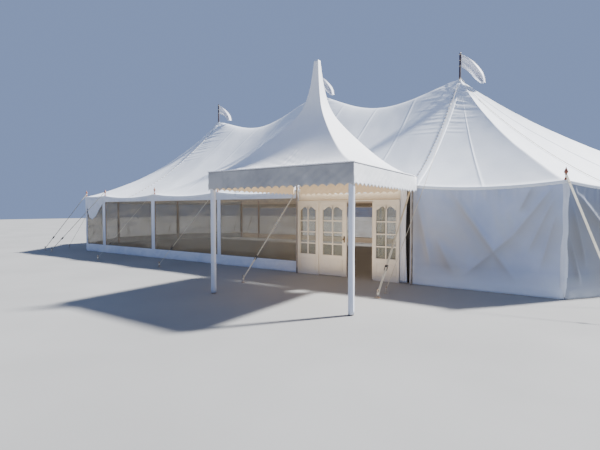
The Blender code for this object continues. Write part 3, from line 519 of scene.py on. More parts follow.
def varnished_wood(name, light, dark, roughness=0.38, grain=26.0, darken_above=None):
    """Timber with grain along Z, darker knots and a thin varnish, dark above a given height."""
    paint = Paint(name, light, roughness)
    fibre = paint.noise(grain, 6.0, stretch=(1.0, 1.0, 0.06), distortion=0.6)
    broad = paint.noise(2.4, 3.0, stretch=(3.0, 3.0, 0.5))
    base = paint.ramp(fibre, ((0.35, dark), (0.62, light)))
    knots = paint.mask(broad, 0.60, 0.75, 0.55)
    base = paint.mix(knots, base, tuple(0.75 * value for value in dark))
    if darken_above:
        base = paint.mix(paint.above(darken_above, darken_above + 0.3), base, (0.055, 0.030, 0.030))
    paint.colour(base)
    paint.roughness(fibre, roughness - 0.08, roughness + 0.12)
    paint.set("Coat Weight", 0.25)
    paint.set("Coat Roughness", 0.25)
    paint.bump(fibre, 0.0012, 0.5)
    return paint.material


def webbing_cloth(name, colour, edge):
    """Woven strap: ribs across it, a stitched look and grubby patches."""
    paint = Paint(name, colour, 0.75)
    grime = paint.noise(2.2, 5.0)
    paint.colour(paint.ramp(grime, ((0.35, edge), (0.62, colour))))
    paint.roughness(grime, 0.62, 0.85)
    paint.set("Sheen Weight", 0.25)
    paint.bump(paint.noise(260.0, 2.0), 0.0008, 0.6)
    paint.bump(paint.wave(160.0, "DIAGONAL"), 0.0006, 0.5)
    return paint.material


def worn_metal(name, colour, roughness, scuff):
    paint = Paint(name, colour, roughness, 0.85)
    wear = paint.noise(14.0, 6.0, distortion=0.5)
    paint.colour(paint.ramp(wear, ((0.40, colour), (0.68, scuff))))
    paint.roughness(wear, roughness - 0.08, roughness + 0.18)
    paint.bump(paint.noise(90.0, 3.0), 0.0008, 0.4)
    return paint.material


def coated_metal(name):
    """Dull aluminium tube with scuffs and slight orange peel."""
    paint = Paint(name, (0.30, 0.28, 0.25), 0.45, 0.4)
    wear = paint.noise(6.0, 6.0)
    paint.colour(paint.ramp(wear, ((0.36, (0.20, 0.18, 0.16)), (0.58, (0.34, 0.31, 0.28)))))
    paint.roughness(wear, 0.38, 0.58)
    paint.bump(paint.noise(160.0, 2.0), 0.0006, 0.4)
    return paint.material


def door_enamel(name):
    """Warm cream enamel over timber: brush marks along the grain and rubbed spots."""
    paint = Paint(name, (0.86, 0.81, 0.71), 0.42)
    brush = paint.noise(24.0, 5.0, stretch=(1.0, 1.0, 0.08))
    cloud = paint.noise(1.6, 4.0)
    base = paint.ramp(cloud, ((0.35, (0.80, 0.74, 0.63)), (0.66, (0.88, 0.83, 0.73))))
    rubbed = paint.mask(brush, 0.60, 0.80, 0.30)
    paint.colour(paint.mix(rubbed, base, (0.68, 0.61, 0.51)))
    paint.roughness(brush, 0.34, 0.52)
    paint.bump(brush, 0.0009, 0.5)
    return paint.material


def make_materials():
    return {
        "roof": coated_cloth("roof_canvas", (0.88, 0.925, 0.985), (0.80, 0.855, 0.935)),
        # Warm tan with a faint glow on the cloth's underside: painted light, the warm light through the cloth
        # and bounced from below.
        "lining": coated_cloth("roof_inner_glow", (0.82, 0.66, 0.50), (0.70, 0.55, 0.41), glow=0.20),
        "porch": coated_cloth("porch_canvas", (0.94, 0.95, 0.97), (0.87, 0.89, 0.93), sheen=0.1),
        # The same painted warm light under the canopy and on the wall over the doors.
        "porch_lining": coated_cloth("porch_lining", (0.84, 0.71, 0.52), (0.74, 0.60, 0.42), glow=0.15),
        # Darker than the canopy's cloth: painted shade on the hanging valance; the copy after it is darker
        # again, more painted shade for the front.
        "valance": coated_cloth("valance_shaded_canvas", (0.74, 0.76, 0.79), (0.65, 0.68, 0.72), patch_scale=2.0),
        "valance_shade": coated_cloth("valance_shade", (0.50, 0.50, 0.50), (0.36, 0.36, 0.37),
                                      patch_scale=2.6),
        # Wall cloth with painted shade; the end walls' copy is darker still, more painted shade.
        "wall": wall_cloth("wall_canvas"),
        "shaded_facet": wall_cloth("shaded_facet_canvas", 0.58),
        # Near black: painted shade, a sheet standing for the dark slit beside the doors.
        "flap": coated_cloth("slit_shade_canvas", (0.085, 0.075, 0.065), (0.05, 0.045, 0.04), patch_scale=2.0),
        "strip": coated_cloth("strip_canvas", (0.80, 0.84, 0.92), (0.68, 0.73, 0.84), patch_scale=1.6),
        "flag": coated_cloth("flag_cloth", (0.90, 0.90, 0.94), (0.80, 0.81, 0.88), patch_scale=5.0),
        "clear": clear_sheet("clear_sheet"),
        "glass": pane_glass("pane_glass"),
        "pole": varnished_wood("pole_timber", (0.60, 0.26, 0.10), (0.42, 0.15, 0.055)),
        "king": varnished_wood("king_timber", (0.33, 0.12, 0.07), (0.19, 0.06, 0.04),
                               darken_above=LEFT_APEX - 0.3),
        "finial": varnished_wood("finial_timber", (0.34, 0.12, 0.06), (0.20, 0.06, 0.035), 0.3, 60.0),
        "webbing": webbing_cloth("cream_webbing", (0.88, 0.82, 0.64), (0.68, 0.60, 0.43)),
        "rope": webbing_cloth("cream_rope", (0.74, 0.67, 0.52), (0.50, 0.43, 0.31)),
        "toggle": varnished_wood("toggle_wood", (0.62, 0.52, 0.38), (0.40, 0.31, 0.20), 0.5, 60.0),
        "ratchet": worn_metal("ratchet_steel", (0.045, 0.045, 0.05), 0.45, (0.16, 0.16, 0.17)),
        "steel": worn_metal("stake_steel", (0.52, 0.50, 0.46), 0.45, (0.34, 0.22, 0.14)),
        "porch_metal": coated_metal("porch_metal_dull"),
        "door": door_enamel("door_enamel"),
        "knob": worn_metal("knob_bronze", (0.10, 0.075, 0.05), 0.32, (0.28, 0.20, 0.11)),
    }


MATERIALS = make_materials()


# Mesh helpers

def grid_object(name, points, material, thickness, lining=None, closed=False, keep=None):
    """A sheet through rows of points of shape (rows, columns, 3), its front to the left of a row's run.

    keep marks the cells of the sheet that have cloth, where it has openings.
    """
    rows, columns = points.shape[:2]
    index = np.arange(rows * columns).reshape(rows, columns)
    if closed:
        index = closed_round(index)
    corners = (index[:-1, :-1], index[:-1, 1:], index[1:, 1:], index[1:, :-1])
    faces = np.stack(corners, axis=-1).reshape(-1, 4)
    flat = points.reshape(-1, 3)
    if keep is not None:
        faces = faces[keep.reshape(-1)]
        used, faces = np.unique(faces, return_inverse=True)
        flat = flat[used]
        faces = faces.reshape(-1, 4)
    mesh = bpy.data.meshes.new(name)
    mesh.from_pydata(flat.tolist(), [], faces.tolist())
    mesh.validate()
    mesh.polygons.foreach_set("use_smooth", np.full(len(mesh.polygons), True))
    obj = add_object(name, mesh, material)
    shell = obj.modifiers.new("cloth", "SOLIDIFY")
    shell.thickness = thickness
    shell.offset = -1.0
    if lining:
        obj.data.materials.append(MATERIALS[lining])
        shell.material_offset = 1
    return obj


def add_object(name, data, material=None):
    obj = bpy.data.objects.new(name, data)
    bpy.context.scene.collection.objects.link(obj)
    if material:
        data.materials.append(MATERIALS[material])
    return obj


def bm_object(name, bm, material, smooth_angle=40.0):
    mesh = bpy.data.meshes.new(name)
    bm.to_mesh(mesh)
    bm.free()
    mesh.shade_smooth()
    mesh.set_sharp_from_angle(angle=math.radians(smooth_angle))
    return add_object(name, mesh, material)


def add_rings(bm, rings):
    """A closed solid through rings of points, capped at both ends."""
    made = [[bm.verts.new(point) for point in ring] for ring in rings]
    count = len(made[0])
    for lower, upper in zip(made, made[1:]):
        for index in range(count):
            after = (index + 1) % count
            bm.faces.new((lower[index], lower[after], upper[after], upper[index]))
    bm.faces.new(list(reversed(made[0])))
    bm.faces.new(made[-1])


def add_rod(bm, start, end, radius, sides):
    start, end = Vector(start), Vector(end)
    turn = (end - start).to_track_quat("Z", "Y")
    section = round_section(radius, sides)
    add_rings(bm, [[centre + turn @ Vector((x, y, 0.0)) for x, y in section] for centre in (start, end)])


def add_ball(bm, place, radius, sides, rows):
    """A ball of rings between two poles, placed by a matrix."""
    foot, top = [bm.verts.new(place @ Vector((0.0, 0.0, end * radius))) for end in (-1, 1)]
    rings = []
    for row in range(1, rows):
        turn = math.pi * row / rows
        height = -radius * math.cos(turn)
        section = round_section(radius * math.sin(turn), sides)
        rings.append([bm.verts.new(place @ Vector((x, y, height))) for x, y in section])
    for index in range(sides):
        after = (index + 1) % sides
        bm.faces.new((foot, rings[0][after], rings[0][index]))
        bm.faces.new((rings[-1][index], rings[-1][after], top))
        for lower, upper in zip(rings, rings[1:]):
            bm.faces.new((lower[index], lower[after], upper[after], upper[index]))


def add_block(bm, low, high, bevel):
    """A box between two corners, its edges rounded by bevel."""
    low, high = Vector(low), Vector(high)
    part = bmesh.new()
    bmesh.ops.create_cube(part, size=1.0)
    bmesh.ops.scale(part, vec=high - low, verts=part.verts)
    bmesh.ops.translate(part, vec=(low + high) / 2, verts=part.verts)
    bmesh.ops.bevel(part, geom=part.edges[:], offset=bevel, segments=2, profile=0.5, affect="EDGES")
    add_part(bm, part)


def add_part(bm, part, place=None):
    """Move one mesh into another, placed by a matrix."""
    if place is not None:
        bmesh.ops.transform(part, matrix=place, verts=part.verts)
    mesh = bpy.data.meshes.new("part")
    part.to_mesh(mesh)
    part.free()
    bm.from_mesh(mesh)
    bpy.data.meshes.remove(mesh)


def add_turned(bm, profile, x, y, sides=24):
    """A turned solid on a vertical axis; the profile runs from its foot up as (radius, height)."""
    section = round_section(1.0, sides)
    rings = [[(x + radius * a, y + radius * b, height) for a, b in section] for radius, height in profile]
    add_rings(bm, rings)


def turned_object(name, profiles, x, y, material, sides=24):
    """One object of turned solids on the same vertical axis."""
    bm = bmesh.new()
    for profile in profiles:
        add_turned(bm, profile, x, y, sides)
    return bm_object(name, bm, material)


def band(radius, rise, low, high, edge):
    """Profile of a band round a post, with sloped edges."""
    return [(radius, low), (radius + rise, low + edge), (radius + rise, high - edge), (radius, high)]


def sweep(path, section):
    """Rings of a flat section, (across, up), carried along a path that isn't vertical."""
    path = np.array(path, float)
    ahead = np.gradient(path, axis=0)
    ahead /= np.linalg.norm(ahead, axis=1)[:, None]
    across = np.cross(ahead, (0.0, 0.0, 1.0))
    across /= np.linalg.norm(across, axis=1)[:, None]
    up = np.cross(across, ahead)
    wide, high = np.array(section, float).T[:, None, :, None]
    return path[:, None] + wide * across[:, None] + high * up[:, None]


def round_section(radius, sides):
    angles = [2 * math.pi * index / sides for index in range(sides)]
    return [(radius * math.cos(a), radius * math.sin(a)) for a in angles]


def strap_section(width, thickness):
    half, edge, thick = width / 2, width / 2 - thickness / 2, thickness / 2
    return [(half, 0.0), (edge, thick), (-edge, thick), (-half, 0.0), (-edge, -thick), (edge, -thick)]


def smoothstep(low, high, value):
    share = np.clip((value - low) / (high - low), 0.0, 1.0)
    return share * share * (3 - 2 * share)


def bell(value, centre, width):
    return np.exp(-((value - centre) / width) ** 2)


def ripple(x, y, seed=0.0):
    """Soft uneven relief between about -1 and 1, the same on each run."""
    total = np.zeros(np.broadcast(x, y).shape)
    for step in range(5):
        angle = 0.9 + 2.4 * step + seed
        pace = 1.0 + 0.37 * step
        total += np.sin(pace * (x * math.cos(angle) + y * math.sin(angle)) + 1.7 * step + seed)
    return total / 3.0


def runs(points):
    """Lengths along each row and each column of a grid of points."""
    across = np.linalg.norm(np.diff(points, axis=1), axis=2).sum(axis=1)
    along = np.linalg.norm(np.diff(points, axis=0), axis=2).sum(axis=0)
    return across, along


def surface_area(points):
    first = np.cross(points[1:, :-1] - points[:-1, :-1], points[:-1, 1:] - points[:-1, :-1])
    second = np.cross(points[:-1, 1:] - points[1:, 1:], points[1:, :-1] - points[1:, 1:])
    return float((np.linalg.norm(first, axis=2) + np.linalg.norm(second, axis=2)).sum() / 2)


def place_piece(obj, node=None):
    """Tie a piece to the tent and hide the node that it stands for."""
    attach(obj, "tent")
    if node:
        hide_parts(node)
    return obj


def cloth_piece(name, points, look, node=None, lining=None, closed=False):
    """A sheet through a grid of points; its look is a material and a thickness."""
    cloth = place_piece(grid_object(name, points, *look, lining, closed), node)


def closed_round(grid):
    """A grid with its first column again after the last."""
    return np.concatenate([grid, grid[:, :1]], axis=1)


def finish_node(node, material):
    """Give a node of the part its material."""
    data = NODES[node].data
    data.materials.clear()
    data.materials.append(MATERIALS[material])


# Plan of the poles, as in the part

def pole_plan():
    """Every side pole as (name, x, y): front wall first, then anticlockwise from above."""
    xs = [-CORNER_X, *(KING_SPACING - index * FRONT_BAY for index in range(4, -1, -1)), CORNER_X]
    plan = [(f"front_{index + 1}", x, -HALF_WIDTH) for index, x in enumerate(xs)]
    ends = []
    for index in range(1, END_FACETS):
        angle = -CORNER_ANGLE + index * 2 * CORNER_ANGLE / END_FACETS
        ends.append((END_RADIUS * math.cos(angle), END_RADIUS * math.sin(angle)))
    plan += [(f"right_{index + 1}", KING_SPACING + x, y) for index, (x, y) in enumerate(ends)]
    plan += [(f"back_{index + 1}", x, HALF_WIDTH) for index, x in reversed(list(enumerate(xs)))]
    plan += [(f"left_{index + 1}", -KING_SPACING - x, -y) for index, (x, y) in enumerate(ends)]
    return plan


POLES = pole_plan()


def outward(start, end):
    run = (Vector(end) - Vector(start)).normalized()
    return Vector((run.y, -run.x))


def eave_height(distance, length):
    """Height of the eave at a distance along a bay of that length."""
    free = length - 2 * POLE_FLAT
    share = np.clip((np.asarray(distance) - POLE_FLAT) / free, 0.0, 1.0)
    return EAVE_HEIGHT - EAVE_SAG * (length / FRONT_BAY) ** 2 * 4 * share * (1 - share)


def front_eave(x):
    """Height of the front or back eave at x."""
    xs = [pole[1] for pole in POLES[:7]]
    heights = np.zeros_like(x)
    for low, high in zip(xs, xs[1:]):
        inside = (x >= low - 1e-6) & (x <= high + 1e-6)
        heights = np.where(inside, eave_height(x - low, high - low), heights)
    return heights


# Roof

def ridge_line(x):
    """Height of the ridge at x, and how far it is bowed between the king poles."""
    share = np.minimum(np.abs(x), KING_SPACING) / KING_SPACING
    apex = np.where(np.asarray(x) < 0, LEFT_APEX, RIGHT_APEX)
    bow = (4 * share * (1 - share)) ** RIDGE_SHOULDER
    return MID_APEX + (apex - MID_APEX) * share - RIDGE_SAG * bow, bow


def roof_rise(distance, reach, rounding, hollow):
    full = np.hypot(reach, rounding) - rounding
    level = 1 - (np.hypot(distance, rounding) - rounding) / full
    return level - hollow * level * (1 - level)


def end_hollow(facing, left):
    """Hollow of an end's cloth at stations that face its end by that share."""
    left_hollow = ROOF_HOLLOW + (LEFT_HOLLOW - ROOF_HOLLOW) * facing ** LEFT_HOLLOW_SPREAD
    return np.where(left, left_hollow, ROOF_HOLLOW + (RIGHT_HOLLOW - ROOF_HOLLOW) * facing)


def slope_distances(reach):
    """Level distances from the ridge at which the cloth has rows, from the eave up."""
    coarse = np.arange(reach, ROOF_FINE_REACH, -ROOF_COARSE_STEP)
    fine = np.arange(ROOF_FINE_REACH, 0.0, -ROOF_FINE_STEP)
    return np.concatenate([coarse, fine])


def king_wrinkles(x, y, king_x):
    """Tension wrinkles that leave the seam below a king pole on both sides."""
    along = np.abs(x - king_x)
    down = np.abs(y)
    outer = (np.abs(x) > abs(king_x) + 1e-6) & (king_x != 0.0)
    relief = np.zeros(np.broadcast(x, y).shape)
    for index in range(WRINKLES):
        share = index / (WRINKLES - 1)
        start = 0.32 + 2.0 * share ** 1.15 + 0.035 * math.sin(2.4 * index)
        fall = np.where(outer, 0.50 * (1 - share) ** 1.5 + 0.10, -0.14 - 0.05 * math.sin(1.7 * index))
        length = np.where(outer, 0.85, 1.25) + 0.30 * math.sin(1.9 * index + 1.0)
        bend = 0.05 * math.sin(3.1 * index) * along ** 2
        across = down - start - fall * along - bend
        width = 0.030 + 0.008 * math.sin(2.9 * index)
        height = 0.024 + 0.009 * math.sin(1.3 * index + 0.5)
        fade = smoothstep(0.02, 0.12, along) * (1 - smoothstep(0.25, 1.0, along / length))
        ridge = bell(across, 0.0, width) - 0.45 * bell(across, width * 1.9, 1.2 * width)
        relief += height * ridge * fade * (1 - 0.45 * share)
    return relief


def pole_puckers(x, y):
    """Small folds that fan out from the head of each side pole."""
    relief = np.zeros(np.broadcast(x, y).shape)
    for _, pole_x, pole_y in POLES:
        dx, dy = x - pole_x, y - pole_y
        radius = np.hypot(dx, dy)
        fan = np.cos(13 * np.arctan2(dy, dx) + pole_x)
        relief += fan * smoothstep(0.08, 0.30, radius) * np.exp(-(radius / 0.55) ** 2)
    return 0.010 * relief


def tension_ridge(x, y):
    """A taut ridge in the cloth from the middle king pole down to a side pole."""
    foot = np.array(POLES[TENSION_POLE][1:])
    length = np.hypot(*foot)
    run = foot / length
    depth = -np.abs(y)
    along = x * run[0] + depth * run[1]
    across = x * run[1] - depth * run[0]
    fade = smoothstep(0.08, 0.30, along / length) * (1 - smoothstep(0.86, 0.99, along / length))
    return 0.05 * bell(across, 0.0, 0.085) * fade


def roof_relief(x, y, inner):
    """Wrinkles and soft billows; inner is 0 along the hem and the ridge and 1 between."""
    relief = 0.014 * ripple(1.1 * x, 1.3 * y) + 0.004 * ripple(5.2 * x, 4.1 * y, 2.0)
    relief = relief * inner
    for king_x in KING_XS:
        relief += king_wrinkles(x, y, king_x)
    return relief + pole_puckers(x, y) * inner + tension_ridge(x, y)


def clear_of_kings(points):
    """Cloth stays outside the staffs."""
    for king_x in KING_XS:
        offset = points[..., :2] - np.array((king_x, 0.0))
        radius = np.linalg.norm(offset, axis=-1)
        near = radius < KING_CLEAR
        inward = -np.sign(king_x) if king_x else np.sign(points[..., 0].mean())
        away = np.where(radius[..., None] > 1e-6, offset / np.maximum(radius, 1e-6)[..., None],
                        np.array((inward, 0.0)))
        moved = np.array((king_x, 0.0)) + away * KING_CLEAR
        points[..., :2] = np.where(near[..., None], moved, points[..., :2])
    return points


def roof_columns(length, welts, marks=()):
    """Stations along a run of eave, with narrow raised welts where two panels join."""
    stations = {round(value, 5): 0.0 for value in np.linspace(0, length, round(length / COLUMN_STEP) + 1)}
    for mark in marks:
        stations[round(mark, 5)] = 0.0
    for welt in welts:
        for value in [value for value in stations if abs(value - welt) < 0.03]:
            if value not in (0.0, round(length, 5)):
                del stations[value]
        foot = WELT_HALF + WELT_SLOPE
        for offset, rise in ((-foot, 0.0), (-WELT_HALF, 1.0), (WELT_HALF, 1.0), (foot, 0.0)):
            if 0.0 < welt + offset < length:
                stations[round(welt + offset, 5)] = rise
    ordered = sorted(stations)
    return np.array(ordered), np.array([stations[value] for value in ordered])


def half_slope(base, direction, eave, peak, rounding, hollow, raised):
    """Cloth from the rolled hem up to the ridge, one column for each station.

    base and direction have shape (columns, 2), peak (columns, 3), the others (columns,).
    """
    rows = []
    for offset, drop in reversed(EAVE_ROLL):
        place = base + direction * offset
        rows.append(np.column_stack([place, eave + drop]))
    for offset in (0.0, -0.025):
        rows.append(np.column_stack([base + direction * offset, eave]))
    start = base - direction * EAVE_BAND
    reach = np.linalg.norm(start - peak[:, :2], axis=1)
    shares = slope_distances(HALF_WIDTH) / HALF_WIDTH
    for share in (*shares, 0.0):
        distance = reach * share
        place = peak[:, :2] + (start - peak[:, :2]) * share
        height = eave + (peak[:, 2] - eave) * roof_rise(distance, reach, rounding, hollow)
        inner = smoothstep(0.0, 0.06, 1 - share) * smoothstep(0.0, 0.08, share)
        height = height + roof_relief(place[:, 0], place[:, 1], inner)
        rows.append(np.column_stack([place, height + WELT_RISE * raised * min(1.0, 8 * share)]))
    return np.stack(rows)


def mid_section(name, side):
    """Roof between the middle king pole and an end one, from front hem to back hem."""
    welts = [KING_SPACING * index / PANELS_PER_SPAN for index in range(1, PANELS_PER_SPAN)]
    marks = [abs(pole[1]) for pole in POLES[:7] if 0 < side * pole[1] < KING_SPACING - 0.1]
    distances, raised = roof_columns(KING_SPACING, welts, marks)
    x = side * distances
    base = np.column_stack([x, np.full_like(x, -HALF_WIDTH)])
    direction = np.tile((0.0, -1.0), (len(x), 1))
    ridge, bow = ridge_line(x)
    peak = np.column_stack([x, np.zeros_like(x), ridge])
    front = half_slope(base, direction, front_eave(x), peak, RIDGE_ROUNDING * bow, ROOF_HOLLOW, raised)
    back = front[:-1][::-1] * np.array((1.0, -1.0, 1.0))
    points = clear_of_kings(np.concatenate([front, back]))
    if side < 0:
        points = points[:, ::-1]
    roof_object(name, points, f"roof_mid_{'right' if side > 0 else 'left'}")


def end_corners():
    """Corners of the right end's eave, from beside its king pole in front round to the back."""
    poles = [(x, y) for label, x, y in POLES if label in ("front_7", "right_1", "right_2", "back_7")]
    return [(KING_SPACING, -HALF_WIDTH), *poles, (KING_SPACING, HALF_WIDTH)]


def end_section(name, side):
    """Roof over one end, a fan of panels round its king pole."""
    corners = end_corners()
    base, direction, eave, raised = [], [], [], []
    last = len(corners) - 2
    for index, (start, end) in enumerate(zip(corners, corners[1:])):
        length = math.dist(start, end)
        normal = outward(start, end)
        panels = 2 if index in (0, last) else 3
        welts = [length * step / panels for step in range(1, panels)]
        distances, rises = roof_columns(length, welts)
        for distance, rise in zip(distances[:-1], rises[:-1]):
            place = Vector(start) + (Vector(end) - Vector(start)) * (distance / length)
            heading = normal
            if distance == 0.0 and index > 0:
                both = normal + outward(corners[index - 1], start)
                heading = both * (2 / both.length_squared)
            base.append(place[:])
            direction.append(heading[:])
            if index in (0, last):
                eave.append(float(front_eave(np.array([side * place.x]))[0]))
            else:
                eave.append(float(eave_height(distance, length)))
            raised.append(1.0 if distance == 0.0 and index > 0 else rise)
    base.append(corners[-1])
    direction.append((0.0, 1.0))
    eave.append(float(front_eave(np.array([side * KING_SPACING]))[0]))
    raised.append(0.0)
    base, direction = np.array(base), np.array(direction)
    eave, raised = np.array(eave), np.array(raised)
    offset = base - np.array((KING_SPACING, 0.0))
    facing = np.abs(offset[:, 0]) / np.linalg.norm(offset, axis=1)
    hollow = end_hollow(facing, side < 0)
    peak = np.tile((KING_SPACING, 0.0, LEFT_APEX if side < 0 else RIGHT_APEX), (len(base), 1))
    points = half_slope(base, direction, eave, peak, 0.0, hollow, raised)
    points = clear_of_kings(points)
    if side < 0:
        points = (points * np.array((-1.0, 1.0, 1.0)))[:, ::-1]
    roof_object(name, points, f"roof_{'right' if side > 0 else 'left'}_end")


def roof_object(name, points, node):
    cloth_piece(name, points, ("roof", CLOTH), node, "lining")


def roof_height(x, y):
    """Height of the smooth roof of the straight part at a point."""
    ridge, bow = ridge_line(np.asarray(x, float))
    eave = front_eave(np.asarray(x, float))
    reach = HALF_WIDTH - EAVE_BAND
    distance = np.minimum(np.abs(y), reach)
    return eave + (ridge - eave) * roof_rise(distance, reach, RIDGE_ROUNDING * bow, ROOF_HOLLOW)


def end_height(x, y):
    """Height of the smooth roof beyond an end king pole."""
    king = np.array((KING_SPACING, 0.0))
    corners = [np.array(corner) for corner in end_corners()]
    offset = np.stack([np.maximum(np.abs(x) - KING_SPACING, 0.0), y + 0.0 * x], axis=-1)
    radius = np.linalg.norm(offset, axis=-1)
    share = np.full(radius.shape, 1e-6)
    eave = np.full(radius.shape, EAVE_HEIGHT)
    for start, end in zip(corners, corners[1:]):
        length = math.dist(start, end)
        normal = np.array(outward(start, end)[:])
        level = offset @ normal / ((start - king) @ normal - EAVE_BAND)
        foot = king + offset / np.maximum(level, 1e-6)[..., None] + normal * EAVE_BAND
        distance = (foot - start) @ ((end - start) / length)
        bay = eave_height(distance, length)
        if abs(start[1]) == HALF_WIDTH and abs(end[1]) == HALF_WIDTH:
            bay = front_eave(np.sign(x) * np.clip(foot[..., 0], KING_SPACING, CORNER_X))
        eave = np.where(level > share, bay, eave)
        share = np.maximum(share, level)
    reach = np.where(radius > 1e-4, radius / share, HALF_WIDTH)
    facing = offset[..., 0] / np.maximum(radius, 1e-4)
    hollow = end_hollow(facing, x < 0)
    apex = np.where(x < 0, LEFT_APEX, RIGHT_APEX)
    return eave + (apex - eave) * roof_rise(np.minimum(radius, reach), reach, 0.0, hollow)


def roof_surface(x, y):
    """Height of the finished roof cloth at a point."""
    x, y = np.broadcast_arrays(np.asarray(x, float), np.asarray(y, float))
    straight = roof_height(np.clip(x, -KING_SPACING, KING_SPACING), y)
    smooth = np.where(np.abs(x) > KING_SPACING, end_height(x, y), straight)
    inner = smoothstep(0.0, 0.4, np.abs(y)) * smoothstep(0.0, 0.3, HALF_WIDTH - EAVE_BAND - np.abs(y))
    return smooth + roof_relief(x, y, inner)


def seam_name(kind, king_x, side):
    face = "front" if side < 0 else "back"
    return f"{kind}_{face}_{king_x:+.0f}".replace("+", "p").replace("-", "m")


def seam_flap(king_x, side):
    """The overlap of the laced seam: a flat band with a wavy free edge, its hem to the middle."""
    y = side * np.linspace(SEAM_START, HALF_WIDTH - 0.004, FLAP_ROWS)
    shares = np.linspace(-1.0, 1.0, 9)
    free = -1.0 if king_x >= 0 else 1.0
    points = np.zeros((FLAP_ROWS, len(shares), 3))
    run = np.arange(FLAP_ROWS) / FLAP_ROWS
    at_hem = smoothstep(HALF_WIDTH - 0.30, HALF_WIDTH - 0.02, np.abs(y))
    for column, share in enumerate(shares):
        loose = smoothstep(0.2, 1.0, free * share)
        ragged = np.sin(2 * math.pi * run * TOGGLES) + 0.5 * np.sin(2 * math.pi * run * 53 + 1.0)
        lift = 0.014 * np.abs(np.sin(math.pi * run * TOGGLES)) * loose
        x = king_x + FLAP_HALF * share + free * 0.013 * ragged * loose
        crown = FLAP_RISE * (1 - 0.7 * share ** 2) * (1 - 0.75 * at_hem)
        points[:, column] = np.column_stack([x, y, roof_surface(x, y) + crown + lift * (1 - at_hem)])
    if side > 0:
        points = points[:, ::-1]
    flap = grid_object(seam_name("seam_flap", king_x, side), points[::-1], "roof", FLAP_CLOTH)
    place_piece(flap)


def seam_toggles(king_x, side):
    """Wooden toggles through the laced edge of a seam, each with its loop of cord."""
    free = -1.0 if king_x >= 0 else 1.0
    bm = bmesh.new()
    for index in range(2, TOGGLES):
        y = side * (SEAM_START + (HALF_WIDTH - 0.11) * (index + 0.5) / TOGGLES)
        x = king_x + free * (FLAP_HALF - 0.012)
        z = float(roof_surface(x, y)) + FLAP_RISE + 0.012
        slope = float(roof_surface(x, y + 0.03)) - float(roof_surface(x, y - 0.03))
        run = Vector((0.0, 0.06, slope)).normalized() * 0.026
        centre = Vector((x, y, z))
        add_rod(bm, centre - run, centre + run, TOGGLE_RADIUS, 8)
        loop = Vector((free * 0.04, 0.0, -0.012))
        add_rod(bm, centre, centre + loop, TOGGLE_LOOP_RADIUS, 6)
    place_piece(bm_object(seam_name("seam_toggles", king_x, side), bm, "toggle"))


def crown_cap(label, king_x):
    """A conical cap over the head of a king pole, with a rolled lower hem."""
    turn = np.linspace(0, 2 * math.pi, CAP_SIDES, endpoint=False)
    rows = []
    for radius in CAP_RADII:
        x = king_x + radius * np.cos(turn)
        y = radius * np.sin(turn)
        pleat = 0.006 * np.sin(16 * turn) * smoothstep(0.1, 0.4, radius)
        roll = -0.02 if radius > CAP_REACH else 0.0
        tight = 0.05 * bell(radius, 0.04, 0.03)
        rows.append(np.column_stack([x, y, roof_surface(x, y) + CAP_RISE + pleat + roll + tight]))
    points = np.stack(rows)[::-1]
    look = ("roof", FLAP_CLOTH)
    cloth_piece(f"crown_cap_{label}", points, look, closed=True)


def build_roof():
    mid_section("roof_cloth_mid_right", 1)
    mid_section("roof_cloth_mid_left", -1)
    end_section("roof_cloth_right_end", 1)
    end_section("roof_cloth_left_end", -1)
    for label, king_x in zip(KING_LABELS, KING_XS):
        crown_cap(label, king_x)
        for side in (-1, 1):
            seam_flap(king_x, side)
            seam_toggles(king_x, side)


# Entrance canopy

def square_ring(steps):
    """Points round a square of half side 1, anticlockwise from its front left corner."""
    along = -1 + 2 * np.arange(steps) / steps
    ones = np.ones(steps)
    sides = [(along, -ones), (ones, along), (-along, ones), (-ones, -along)]
    return np.concatenate([np.column_stack(pair) for pair in sides])


def porch_height(level):
    share = 1 - level
    return PORCH_EAVE + PORCH_RISE * share ** PORCH_CURVE + SPIRE_RISE * share ** SPIRE_CURVE


def porch_points(ring, level):
    x = PORCH_CENTRE[0] + ring[:, 0] * level * PORCH_HALF_WIDTH
    y = PORCH_CENTRE[1] + ring[:, 1] * level * PORCH_HALF_DEPTH
    return x, y


def ring_normals(ring):
    """Outward directions round the square ring."""
    normal = np.where(np.abs(ring) > ON_EDGE, ring, 0.0)
    return normal / np.linalg.norm(normal, axis=1)[:, None]


def sharp_folds(place, pitch):
    """Narrow ridges between broad hollows, a pitch apart."""
    wave = 0.5 + 0.5 * np.sin(2 * math.pi * place / pitch)
    return 2.2 * wave ** 3 - 0.8


def porch_cloth():
    ring = square_ring(PORCH_SIDE_STEPS)
    along = np.where(np.abs(ring[:, 1]) > ON_EDGE, ring[:, 0], ring[:, 1])
    strength = np.where(ring[:, 1] < -ON_EDGE, 1.0, 0.45)
    window = smoothstep(-0.95, -0.55, along) * (1 - smoothstep(0.35, 0.85, along))
    rows = []
    for share in np.linspace(0.0, 1.0, PORCH_ROWS):
        level = PORCH_TIP + (1 - PORCH_TIP) * (1 - share) ** 1.5
        x, y = porch_points(ring, level)
        lean = along * PORCH_HALF_WIDTH - 0.5 * (1 - level)
        fold = sharp_folds(lean, 0.105) + 0.6 * sharp_folds(lean + 0.03, 0.171)
        uneven = 1 + 0.35 * np.sin(7.3 * along + 1.0) + 0.25 * np.sin(17.0 * along)
        reach = smoothstep(0.0, 0.02, 1 - level) * np.exp(-((1 - level) / (0.19 * uneven)) ** 2)
        broad = 0.012 * ripple(3.0 * x, 3.0 * y, 1.0) * smoothstep(0.0, 0.2, 1 - level) * level
        relief = 0.013 * fold * reach * window * strength + broad
        rows.append(np.column_stack([x, y, porch_height(level) + relief]))
    cloth_piece("porch_cloth", np.stack(rows), ("porch", CLOTH),
                "porch_canopy", "porch_lining", closed=True)


